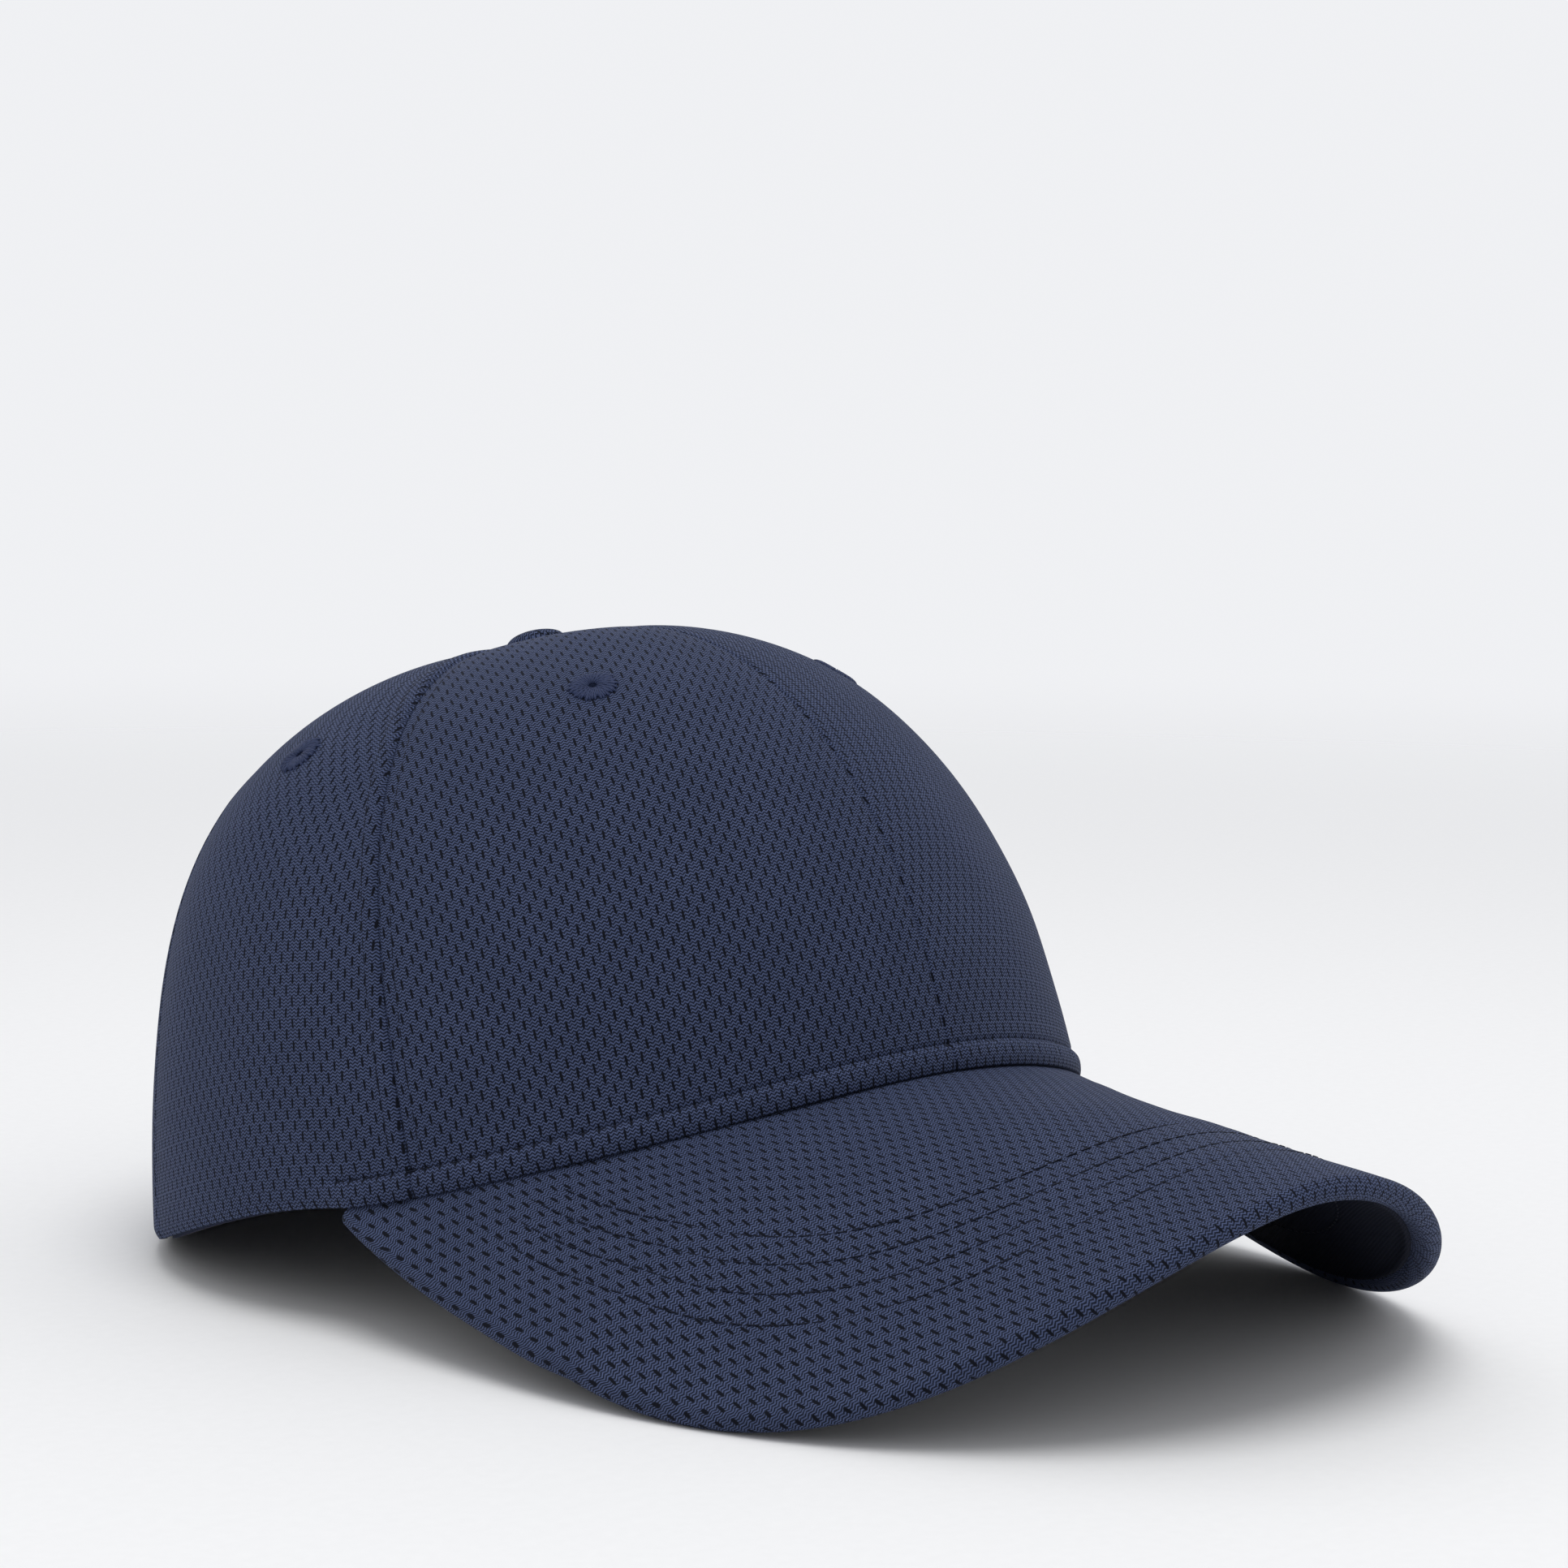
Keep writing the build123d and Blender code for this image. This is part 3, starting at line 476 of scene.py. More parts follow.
def make_panel(start, end, kinds):
    sideways = (1 - np.cos(np.linspace(0, np.pi, PANEL_COLUMNS))) / 2
    low = np.concatenate([np.linspace(EDGE_GAP, FINE_TOP, 27), np.linspace(FINE_TOP + 0.9, BAND_TOP, 5)])
    top = rise_of_radius(PANEL_TOP_RADIUS)
    upper = np.linspace(0, 1, PANEL_ROWS)[1:]
    across = sideways[None, :]
    turn_low = blend(start, end, across)
    rise = np.concatenate([
        np.broadcast_to(rise_at(turn_low, low[:, None]), (len(low), across.size)),
        blend(rise_at(turn_low, np.array([[BAND_TOP]])), top, upper[:, None])])
    turn = blend(start, end, across) + 0 * rise
    height = np.linalg.norm(crown_surface(turn, rise) - crown_surface(turn, 0 * rise), axis=-1)
    width = radius_at(rise) * math.radians(end - start)
    relief = panel_relief(turn, height, width * across, width * (1 - across), kinds)
    relief += band_pucker(turn, height)
    place = crown_surface(turn, rise)
    soft = np.sin(np.pi * across) * np.clip(height / 20, 0, 1)
    relief += 0.35 * ripple(place[..., 0] * 1.3 + place[..., 1], place[..., 2], 46.0, start) * soft
    outer = crown_point(turn, rise, -relief)
    inner = crown_point(turn, rise, np.maximum(PANEL_THICKNESS, 0.35 - relief))
    grain = np.stack([(across - 0.5) * width, height], -1)
    return outer, inner, grain


def cut_out(piece, loop, count):
    """Cuts a prism out of a piece. loop holds the count points of its near end and then of its far end, in
    metres, and they have to run anticlockwise as seen from beyond the far end."""
    walls = [(i, (i + 1) % count, count + (i + 1) % count, count + i) for i in range(count)]
    mesh = bpy.data.meshes.new("cutter")
    mesh.from_pydata(loop, [], [*walls, tuple(range(count))[::-1], tuple(range(count, 2 * count))])
    block = bpy.data.objects.new("cutter", mesh)
    bpy.context.scene.collection.objects.link(block)
    cut = piece.modifiers.new("cut", "BOOLEAN")
    cut.object = block
    cut.operation = "DIFFERENCE"
    cut.solver = "EXACT"
    graph = bpy.context.evaluated_depsgraph_get()
    piece.data = bpy.data.meshes.new_from_object(piece.evaluated_get(graph))
    piece.modifiers.clear()
    bpy.data.objects.remove(block)


def cut_arch(piece):
    """Meant to cut the half-round back opening, but takes nothing away: its outline runs the opposite
    way round to the one that cut_out needs, so the cloth still closes the opening."""
    angle = np.radians(np.linspace(0, 180, 41))
    turn = 180 - ARCH_HALF_TURN * np.cos(angle)
    line = settle(crown_surface(turn, rise_at(turn, ARCH_HEIGHT * np.sin(angle))))
    line = np.concatenate([line[:1] - [0, 0, 0.04], line, line[-1:] - [0, 0, 0.04]])
    cut_out(piece, [(x, 0.07 + 0.13 * back, z) for back in (0, 1) for x, _, z in line], len(line))


def punch(piece, turn, rise):
    """Punches an eyelet's hole."""
    turn, rise = np.array(float(turn)), np.array(rise)
    normal = crown_normal(turn, rise)
    side = unit(np.cross(normal, [0, 0, 1.0]))
    angle = np.radians(np.arange(0, 360, 24))[:, None]
    ring = PUNCHED_RADIUS * (np.cos(angle) * side + np.sin(angle) * np.cross(normal, side))
    ends = [settle(crown_point(turn, rise, depth) + ring) for depth in (4.0, -4.0)]
    cut_out(piece, np.concatenate(ends).tolist(), len(angle))


PANELS = {
    "front": (0, FRONT_SEAM, ("centre", "under")),
    "side": (FRONT_SEAM, BACK_SEAM, ("over", "over")),
    "back": (BACK_SEAM, 180, ("under", "centre")),
}
for side, sign in (("left", 1), ("right", -1)):
    for place, (start, end, kinds) in PANELS.items():
        name = f"{place}_panel_{side}"
        turns = (start, end) if sign > 0 else (-end, -start)
        outer, inner, grain = make_panel(*turns, kinds if sign > 0 else kinds[::-1])
        panel = sewn(f"{name}_cloth", outer, inner, grain, MESH_KNIT, "mesh_knit")
        punch(panel, sign * EYELETS[place][0], EYELETS[place][1])
        if place == "back":
            cut_arch(panel)
        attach(panel, "cap")
        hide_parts(name)


# ---------------------------------------------------------------------------------------------------
# Buckram. Stiff open-weave cotton behind each front panel, starched so that the front stands up by
# itself. It is pale and shows only from inside.

BUCKRAM_DEPTHS = (1.25, 1.9)
BUCKRAM_THREADS = 1.3


def woven(name, low, high, pitch, roughness, relief, sheen=0.0):
    """Plain weave: threads that pass over and under each other, this far apart in millimetres. The colour is
    painted darker where the threads dip, as shade, and varies at random with the fuzz.
    """
    material, tree, shader, grain, across, along = new_material(name)
    waves = []
    for direction in (across, along):
        turns = add(tree, "ShaderNodeMath", {0: direction, 1: math.pi / pitch}, operation="MULTIPLY")
        waves.append(add(tree, "ShaderNodeMath", {0: turns}, operation="SINE"))
    crossing = add(tree, "ShaderNodeMath", {0: waves[0], 1: waves[1]},
                   operation="MULTIPLY")
    fuzz = add(tree, "ShaderNodeTexNoise", {"Vector": grain, "Scale": 2.2, "Detail": 4.0})
    height = add(tree, "ShaderNodeMath", {0: crossing, 1: 0.6, 2: fuzz},
                 operation="MULTIPLY_ADD")
    # Painted shade: darker where the weave dips, plus random tone from the fuzz.
    cloud = add(tree, "ShaderNodeMapRange", {"Value": height, "From Min": -0.2, "From Max": 1.2})
    colour = add(tree, "ShaderNodeMix", {0: cloud, 6: linear(low), 7: linear(high)},
                 data_type="RGBA")
    bump = add(tree, "ShaderNodeBump", {"Strength": 0.6, "Distance": relief, "Height": height})
    connect(tree, shader, {"Base Color": colour.outputs[2], "Normal": bump, "Roughness": roughness,
                           "Specular IOR Level": 0.12, "Sheen Weight": sheen, "Sheen Roughness": 0.5})
    return material


BUCKRAM = woven("starched_buckram", "#9a998f", "#d9d8cf", BUCKRAM_THREADS, 0.9, 0.0004)


def crown_piece(name, place, depths, counts, material, slot, relief=None):
    """A layer of the crown; place turns two shares, up and across, into a turn and a rise."""
    up, across = np.meshgrid(np.linspace(0, 1, counts[0]), np.linspace(0, 1, counts[1]), indexing="ij")
    turn, rise = place(up, across)
    raised = 0 * up if relief is None else relief(up, across)
    surface = crown_surface(turn, rise)
    grain_up = np.linalg.norm(surface - surface[:1], axis=-1)
    grain_across = np.radians(turn - turn.mean()) * radius_at(rise)
    outer = crown_point(turn, rise, depths[0])
    inner = crown_point(turn, rise, depths[1] + raised)
    return sewn(name, outer, inner, np.stack([grain_across, grain_up], -1), material, slot)


def gore_place(start, end, edge, low, top_radius):
    top = rise_of_radius(top_radius)

    def place(up, across):
        rise = blend(rise_at(blend(start, end, across), low), top, up)
        gap = degrees_for(edge, rise)
        return blend(start + gap, end - gap, across), rise

    return place


for side, sign in (("left", 1), ("right", -1)):
    turns = sorted((0, sign * FRONT_SEAM))
    backing = crown_piece(f"buckram_{side}_weave", gore_place(*turns, 2.0, 2.0, 12.0), BUCKRAM_DEPTHS,
                          (60, 50), BUCKRAM, "buckram")
    punch(backing, sign * EYELETS["front"][0], EYELETS["front"][1])
    panel = f"front_panel_{side}_cloth"
    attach(backing, "cap")
    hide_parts(f"buckram_{side}")


# ---------------------------------------------------------------------------------------------------
# Thread. Navy polyester sewing thread, two plies twisted together, with a soft shine. Every stitch is
# its own short bead of thread, sunk a little into the cloth where the needle pulled it down.

STITCH_PITCH = 3.0
STITCH_LENGTH = 2.35
THREAD_RADIUS = 0.16


def sewing_thread(name, low, high):
    material, tree, shader, grain, across, along = new_material(name)
    turns = add(tree, "ShaderNodeMath", {0: along, 1: 0.35, 2: across}, operation="MULTIPLY_ADD")
    wave = add(tree, "ShaderNodeMath", {0: turns, 1: 2 * math.pi / 0.45}, operation="MULTIPLY")
    ply = add(tree, "ShaderNodeMath", {0: wave}, operation="SINE")
    height = add(tree, "ShaderNodeMapRange", {"Value": ply, "From Min": -1.0, "From Max": 1.0})
    # Painted shade: the thread is coloured darker in the grooves between its twisted plies.
    colour = add(tree, "ShaderNodeMix", {0: height, 6: linear(low), 7: linear(high)},
                 data_type="RGBA")
    bump = add(tree, "ShaderNodeBump", {"Strength": 0.5, "Distance": 0.00015, "Height": height})
    connect(tree, shader, {"Base Color": colour.outputs[2], "Normal": bump, "Roughness": 0.6,
                           "Specular IOR Level": 0.15})
    return material


THREAD = sewing_thread("twisted_polyester_thread", "#0a0d17", "#1a2034")
SATIN = sewing_thread("navy_embroidery_thread", "#222a44", "#3d486b")


def bead():
    """One stitch along x: points with length and radius 1, and its faces."""
    around = np.arange(6) * math.pi / 3
    along = np.radians(np.linspace(-90, 90, 8))[1:-1]
    rings = [[signed_power(np.sin(a), 0.7), np.cos(a) ** 0.6 * np.cos(t), np.cos(a) ** 0.6 * np.sin(t)]
             for a in along for t in around]
    points = np.array([[-1, 0, 0], *rings, [1, 0, 0]])
    faces = [[0, 1 + (i + 1) % 6, 1 + i, 1 + i] for i in range(6)]
    for ring in range(len(along) - 1):
        low = 1 + ring * 6
        faces += [[low + i, low + (i + 1) % 6, low + 6 + (i + 1) % 6, low + 6 + i] for i in range(6)]
    last = 1 + (len(along) - 1) * 6
    faces += [[last + i, last + (i + 1) % 6, len(points) - 1, len(points) - 1] for i in range(6)]
    return points, faces


BEAD_POINTS, BEAD_FACES = bead()


def beads_piece(name, points, grains, faces, thread):
    return make_piece(name, np.concatenate(points), faces, np.concatenate(grains), thread)


def stitches(name, lines, node, body="cap", length=STITCH_LENGTH, pitch=STITCH_PITCH):
    """Stitches along lines, each line an array of points and one of outward normals."""
    points, grains, faces = [], [], []
    for line, normals in lines:
        gone = np.concatenate([[0], np.cumsum(np.linalg.norm(np.diff(line, axis=0), axis=1))])
        count = max(int(gone[-1] / pitch), 1)
        for place in (np.arange(count) + 0.5) * gone[-1] / count:
            centre, ahead, back, out = [
                np.array([np.interp(place + shift, gone, column) for column in values.T])
                for values, shift in ((line, 0), (line, 0.6), (line, -0.6), (normals, 0))]
            along = unit(ahead - back)
            side = unit(np.cross(out, along))
            offset = BEAD_POINTS * [length / 2, THREAD_RADIUS, THREAD_RADIUS * 0.9]
            first = len(points) * len(BEAD_POINTS)
            points.append(centre + offset @ np.stack([along, side, unit(out)]))
            grains.append(np.stack([offset[:, 1] * 1.5, place + offset[:, 0]], -1))
            faces += [[first + i for i in dict.fromkeys(face)] for face in BEAD_FACES]
    piece = beads_piece(name, points, grains, faces, THREAD)
    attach(piece, body)
    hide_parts(node)


def crown_line(turn, rise, lift):
    return crown_point(turn, rise, 0 * turn - lift), crown_normal(turn, rise)


lines = []
for seam in (-BACK_SEAM, -FRONT_SEAM, FRONT_SEAM, BACK_SEAM):
    low, top = rise_at(np.array(seam), BAND_STITCH_HEIGHT + 2), rise_of_radius(9.0)
    rise = np.linspace(low, top, 160)
    for side in (-1, 1):
        turn = seam + side * degrees_for(SEAM_STITCH_OFFSET + 0.25, rise)
        on_side_panel = FRONT_SEAM < abs(seam + side) < BACK_SEAM
        lines.append(crown_line(turn, rise, 0.2 if on_side_panel else -0.2))
stitches("seam_topstitching", lines, "seam_stitching")

turn = np.linspace(-76, 76, 500)
stitches("band_topstitching", [crown_line(turn, rise_at(turn, BAND_STITCH_HEIGHT + 0.1), -0.25)],
         "band_stitching")


# ---------------------------------------------------------------------------------------------------
# Seam tapes. Folded navy tape sewn over every seam inside the crown, to cover the raw edges.

TAPE_DEPTHS = {"front": (2.0, 2.7), "back": (1.1, 1.8)}
TAPE_HALF_WIDTH = 7.0
TAPE_CLOTH = woven("folded_seam_tape", "#1b2136", "#2e3652", 0.5, 0.75, 0.0002, 0.03)


def tape_place(seam, low):
    top = rise_of_radius(7.5)

    def place(up, across):
        rise = blend(rise_at(seam + 0 * up, low), top, up)
        half = np.minimum(TAPE_HALF_WIDTH, 0.42 * radius_at(rise))
        return seam + degrees_for(half, rise) * blend(-1, 1, across), rise

    return place


def tape_relief(up, across):
    """Crowned between its folded edges, with a sewn groove near each."""
    from_edge = np.minimum(across, 1 - across) * 2 * TAPE_HALF_WIDTH
    return -0.35 * bell(from_edge, 0.5) - 0.22 * bell(from_edge - 1.6, 0.4)


TAPES = {"seam_tape_front": (0, 2.0, "front"), "seam_tape_back": (180, ARCH_HEIGHT + 8.0, "back")}
for side, sign in (("left", 1), ("right", -1)):
    TAPES[f"seam_tape_front_{side}"] = (sign * FRONT_SEAM, 2.0, "front")
    TAPES[f"seam_tape_back_{side}"] = (sign * BACK_SEAM, 2.0, "back")
for name, (seam, low, place) in TAPES.items():
    tape = crown_piece(f"{name}_cloth", tape_place(seam, low), TAPE_DEPTHS[place], (70, 45), TAPE_CLOTH,
                       "tape", tape_relief)
    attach(tape, "cap")
    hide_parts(name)


# ---------------------------------------------------------------------------------------------------
# Eyelets. A small punched hole bound with satin stitches in the crown's own colour. The stitches fan
# out from the hole, each pulled down at its inner end, and their outer ends are uneven.

EYELET_REACH = 4.6
EYELET_HOLE = 0.75
SATIN_STITCHES = 52
SATIN_RADIUS = 0.34


def make_eyelet(name, turn, rise, node):
    turn, rise = np.array(float(turn)), np.array(rise)
    centre, normal = crown_point(turn, rise, -0.1), crown_normal(turn, rise)
    up = unit(crown_surface(turn, rise + 0.01) - crown_surface(turn, rise))
    side = np.cross(up, normal)
    points, grains, faces = [], [], []
    for number in range(SATIN_STITCHES):
        angle = 2 * math.pi * number / SATIN_STITCHES
        end = EYELET_REACH + 0.35 * math.sin(number * 2.4 + turn) + 0.25 * math.sin(number * 5.1)
        along = math.cos(angle) * side + math.sin(angle) * up
        beside = np.cross(normal, along)
        reach = blend(EYELET_HOLE, end, (BEAD_POINTS[:, 0] + 1) / 2)
        rest = (reach / EYELET_REACH) ** 2
        drop = reach**2 / 190 + 0.25 * rest**3 + 0.55 * (1 - np.clip(reach / 2.6, 0, 1)) ** 2
        width = BEAD_POINTS[:, 1] * SATIN_RADIUS * np.clip(reach / 3.4, 0.35, 1.1)
        height = BEAD_POINTS[:, 2] * SATIN_RADIUS + 0.3 + 0.08 * math.sin(number * 3.3) - drop
        first = number * len(BEAD_POINTS)
        points.append(centre + reach[:, None] * along + width[:, None] * beside + height[:, None] * normal)
        grains.append(np.stack([width * 1.5, reach + number], -1))
        faces += [[first + i for i in dict.fromkeys(face)] for face in BEAD_FACES]
    ring = beads_piece(name, points, grains, faces, SATIN)
    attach(ring, "cap")
    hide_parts(node)


for place, (turn, rise) in EYELETS.items():
    for side, sign in (("left", 1), ("right", -1)):
        make_eyelet(f"eyelet_{place}_{side}_satin", sign * turn, rise, f"eyelet_{place}_{side}")


# ---------------------------------------------------------------------------------------------------
# Top button. A pressed steel shell covered in the crown's mesh, pinched through the crown by its prong
# and a washer inside. The cloth is gathered under the rim, which leaves fine puckers there.

BUTTON_RADIUS = 6.2
BUTTON_HEIGHT = 3.5
BUTTON_LIFT = 0.7
APEX = np.array([0, BUTTON_Y, CROWN_HEIGHT])


def button_steel():
    material, tree, shader, _, _, _ = new_material("plated_button_steel")
    place = add(tree, "ShaderNodeTexCoord")
    speckle = add(tree, "ShaderNodeTexNoise", {"Vector": place.outputs["Object"], "Scale": 900.0,
                                               "Detail": 3.0})
    rough = add(tree, "ShaderNodeMapRange", {"Value": speckle, "To Min": 0.25, "To Max": 0.45})
    connect(tree, shader, {"Roughness": rough, "Base Color": linear("#a9aaad"), "Metallic": 1.0})
    return material


def make_button():
    angle = np.linspace(0, 2 * math.pi, 145)[:-1]
    share = np.concatenate([np.linspace(0.02, 0.9, 22), np.linspace(0.92, 1, 8)])[:, None]
    radius = BUTTON_RADIUS * np.sin(share * math.pi / 2) ** 0.9
    height = BUTTON_HEIGHT * np.cos(share * math.pi / 2) ** 0.6
    gather = np.sin(angle * 18) * 0.5 + np.sin(angle * 29 + 1) * 0.5
    radius = radius + 0.14 * gather * share**8
    height = height + 0.1 * np.sin(angle * 2 + 0.6) * share + BUTTON_LIFT
    under = np.array([[0.9, -0.05], [0.55, 0.1], [0.2, 0.12]])
    radius = np.concatenate([radius, under[:, :1] * BUTTON_RADIUS + 0 * angle])
    height = np.concatenate([height, under[:, 1:] + BUTTON_LIFT + 0 * angle])
    points = np.stack([radius * np.cos(angle), radius * np.sin(angle), height], -1) + APEX
    rows, columns = points.shape[:2]
    index = np.arange(rows * columns).reshape(rows, columns)
    after = np.roll(index, -1, axis=1)
    faces = [np.stack([index[r], index[r + 1], after[r + 1], after[r]], -1) for r in range(rows - 1)]
    faces = np.concatenate(faces).tolist() + [index[0].tolist(), index[-1, ::-1].tolist()]
    flat = (points - APEX)[..., :2].reshape(-1, 2) * 1.15
    cover = make_piece("button_cloth", points.reshape(-1, 3), faces, flat, MESH_KNIT)
    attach(cover, "cap")
    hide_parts("button_cover")


make_button()
BUTTON_STEEL = button_steel()
for node in ("button_shell", "button_prong", "button_washer"):
    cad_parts[node].data.materials.clear()
    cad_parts[node].data.materials.append(BUTTON_STEEL)


# ---------------------------------------------------------------------------------------------------
# Visor board. The moulded polyethylene stiffener that holds the visor's curve, sealed between its two
# covers. Milky plastic with a fine moulded grain.

def board_plastic():
    material, tree, shader, _, _, _ = new_material("moulded_polyethylene")
    place = add(tree, "ShaderNodeTexCoord")
    grit = add(tree, "ShaderNodeTexNoise", {"Vector": place.outputs["Object"], "Scale": 1200.0,
                                            "Detail": 2.0})
    bump = add(tree, "ShaderNodeBump", {"Strength": 0.2, "Distance": 0.0001, "Height": grit})
    colour = add(tree, "ShaderNodeMix", {0: grit, 6: linear("#c9c9c4"), 7: linear("#dededa")},
                 data_type="RGBA")
    connect(tree, shader, {"Base Color": colour.outputs[2], "Normal": bump, "Roughness": 0.5})
    return material


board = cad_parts["visor_board"]
board.data.materials.clear()
board.data.materials.append(board_plastic())


# ---------------------------------------------------------------------------------------------------
# Visor top cover. The crown's mesh again, stretched over the board with its ribs running front to back,
# rolled round the edge and turned under. Rows of lock stitching sink it into the board's surface.

STITCH_ROWS = [17.0 + 6.6 * number for number in range(4)]
STITCH_GROOVE = 0.14
WRAP_UNDER = 3.0
COVER_TUCK = 2.5
ROLL_STEPS = 17
WRAP_STEPS = 6
RAYS = 421


def rays(tuck, shortest):
    root, edge = visor_root(RAYS, tuck), visor_edge(RAYS)
    length = np.linalg.norm(edge - root, axis=1)
    keep = length >= shortest
    return root[keep], edge[keep], length[keep]


def edge_frames(root, edge):
    centre = visor_point(edge[:, 0], edge[:, 1], 0 * edge[:, 0] + VISOR_THICKNESS / 2)
    normal = visor_normal(edge[:, 0], edge[:, 1])
    outward = unit(np.cross(np.gradient(centre, axis=0), normal))
    inwards = visor_top(root[:, 0], root[:, 1]) - visor_top(edge[:, 0], edge[:, 1])
    return centre, normal, outward * -np.sign(np.sum(outward * inwards, -1, keepdims=True))


def visor_relief(x, reach, from_edge, length):
    """Grooves at the rows of stitching, soft quilting between them and a little unevenness."""
    relief = 0 * from_edge
    for row in STITCH_ROWS:
        there = 1 / (1 + np.exp((row + 6.0 - length) / 1.2))
        relief -= (STITCH_GROOVE * bell(from_edge - row, 0.4) + 0.05 * bell(from_edge - row, 1.6)) * there
    relief += 0.25 * ripple(x, reach, 34.0, 2.0) * np.clip(from_edge / 14, 0, 1)
    return relief


def make_top_cover():
    root, edge, length = rays(COVER_TUCK, 3.0)
    share = np.linspace(0, 0.985, 225)[:, None]
    x, reach = [blend(root[:, i], edge[:, i], share) for i in (0, 1)]
    from_edge = (1 - share) * length
    relief = visor_relief(x, reach, from_edge, length)
    centre, normal, outward = edge_frames(root, edge)
    swing = np.radians(np.linspace(90, -90, ROLL_STEPS))[:, None, None]
    arc = np.pi * VISOR_THICKNESS / 2
    turned_under = np.linspace(0.5, WRAP_UNDER, WRAP_STEPS)
    rolled_by = np.concatenate([np.linspace(0, arc, ROLL_STEPS), arc + turned_under])
    heading = unit(edge - root)
    grids = []
    for depth in (0.0, 0.8):
        radius = VISOR_THICKNESS / 2 - depth
        flat = visor_point(x, reach, depth - relief * (1 if depth == 0 else 0.3))
        waver = 1 + 0.03 * ripple(edge[:, 0] + edge[:, 1], 0 * length, 21.0)[None, :, None]
        rim = centre + outward * radius * np.cos(swing) * waver + normal * radius * np.sin(swing)
        inwards = turned_under[:, None, None]
        sink = 0.35 * np.clip(inwards - 1.5, 0, 9)
        under = centre - outward * inwards - normal * (radius - sink * (depth == 0))
        grids.append(np.concatenate([flat, rim, under]))
    rolled = edge[None] + heading[None] * rolled_by[:, None, None]
    grain = np.concatenate([np.stack([x, reach], -1), rolled])
    cover = sewn("visor_top_cloth", *grids, grain, MESH_KNIT, "mesh_knit")
    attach(cover, "cap")
    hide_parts("visor_top_cover")


make_top_cover()


# ---------------------------------------------------------------------------------------------------
# Visor under cover. Plain woven navy polyester, turned in along the rolled edge, so it stands a little
# proud of the top cover's turned edge. The bobbin side of the stitching dimples it.

UNDER_CLOTH = woven("plain_woven_polyester", "#0c0f1a", "#191e30", 0.42, 0.85, 0.0002)


def make_under_cover():
    root, edge, length = rays(COVER_TUCK, 6.5)
    inset = 2.5
    share = np.linspace(0, 1, 170)[:, None]
    stop = 1 - inset / length
    x, reach = [blend(root[:, i], edge[:, i], share * stop) for i in (0, 1)]
    from_edge = (1 - share * stop) * length
    relief = visor_relief(x, reach, from_edge, length)
    fold = from_edge - inset
    lip = 0.35 * bell(fold - 0.9, 0.8) - 0.5 * bell(fold, 0.3)
    outer = visor_point(x, reach, VISOR_THICKNESS + relief * 0.8 + lip - 0.1)
    inner = visor_point(x, reach, 3.5 + 0 * x)
    cover = sewn("visor_under_cloth", outer, inner, np.stack([x, reach], -1), UNDER_CLOTH, "under_cloth")
    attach(cover, "cap")
    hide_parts("visor_under_cover")


make_under_cover()


def visor_lines(depth):
    lines = []
    for row in STITCH_ROWS:
        root, edge, length = rays(0.9, row + 6.0)
        share = 1 - row / length
        x, reach = [blend(root[:, i], edge[:, i], share) for i in (0, 1)]
        normal = visor_normal(x, reach)
        lines.append((visor_point(x, reach, depth + 0 * x), normal if depth < 1 else -normal))
    return lines


stitches("visor_lock_stitching", visor_lines(0.1) + visor_lines(VISOR_THICKNESS - 0.1), "visor_stitching")


# ---------------------------------------------------------------------------------------------------
# Sweatband and its pad. A folded strip of fine brushed knit along the crown's lower edge inside, with
# thin foam behind it at the forehead, sewn in one row below and closed with a stitched fold on top.

SWEATBAND_HEIGHT = 33.0
SWEATBAND_END = 140.0
SWEATBAND_DEPTHS = (3.5, 4.3)
PAD_TURN = 58.0
PAD_HEIGHTS = (4.0, 29.0)
PAD_DEPTHS = (2.95, 3.25)
SWEATBAND_KNIT = woven("brushed_sweatband_knit", "#181d30", "#2c3450", 0.38, 0.92, 0.00015, 0.06)
FOAM = woven("laminated_foam", "#8f8f8c", "#bdbdb9", 0.9, 0.95, 0.0003)


def band_place(turns, heights):
    def place(up, across):
        turn = blend(*turns, across)
        return turn, rise_at(turn, blend(*heights, up))

    return place


def sweatband_relief(up, across):
    """Padded between a stitched top fold and the lower seam, with shallow creases round the curve."""
    height = up * SWEATBAND_HEIGHT
    crease = 0.12 * ripple(across * 500, height * 0.5, 26.0, 1.0)
    soft = 0.35 * np.sin(np.pi * up) ** 0.5 + crease
    return soft - 0.3 * bell(height - 3.0, 0.5) - 0.3 * bell(height - SWEATBAND_HEIGHT + 3.0, 0.5)


sweatband_lies = band_place((-SWEATBAND_END, SWEATBAND_END), (EDGE_GAP, SWEATBAND_HEIGHT))
sweatband = crown_piece("sweatband_knit", sweatband_lies, SWEATBAND_DEPTHS, (80, 360), SWEATBAND_KNIT,
                        "sweatband", sweatband_relief)
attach(sweatband, "cap")
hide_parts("sweatband")


def pad_relief(up, across):
    """Foam sewn down round its edge."""
    return 0.25 * (np.sin(np.pi * up) * np.sin(np.pi * across)) ** 0.3 - 0.2


pad = crown_piece("sweatband_foam", band_place((-PAD_TURN, PAD_TURN), PAD_HEIGHTS), PAD_DEPTHS, (30, 120),
                  FOAM, "foam", pad_relief)
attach(pad, "cap")
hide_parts("sweatband_pad")


# ---------------------------------------------------------------------------------------------------
# Arch binding. A strip of navy tape folded over the cut edge of the back opening and sewn through.

BINDING_WIDTH = 7.0


def arch_at(angle):
    turn = 180 - ARCH_HALF_TURN * np.cos(np.radians(angle))
    return turn, rise_at(turn, ARCH_HEIGHT * np.sin(np.radians(angle)))


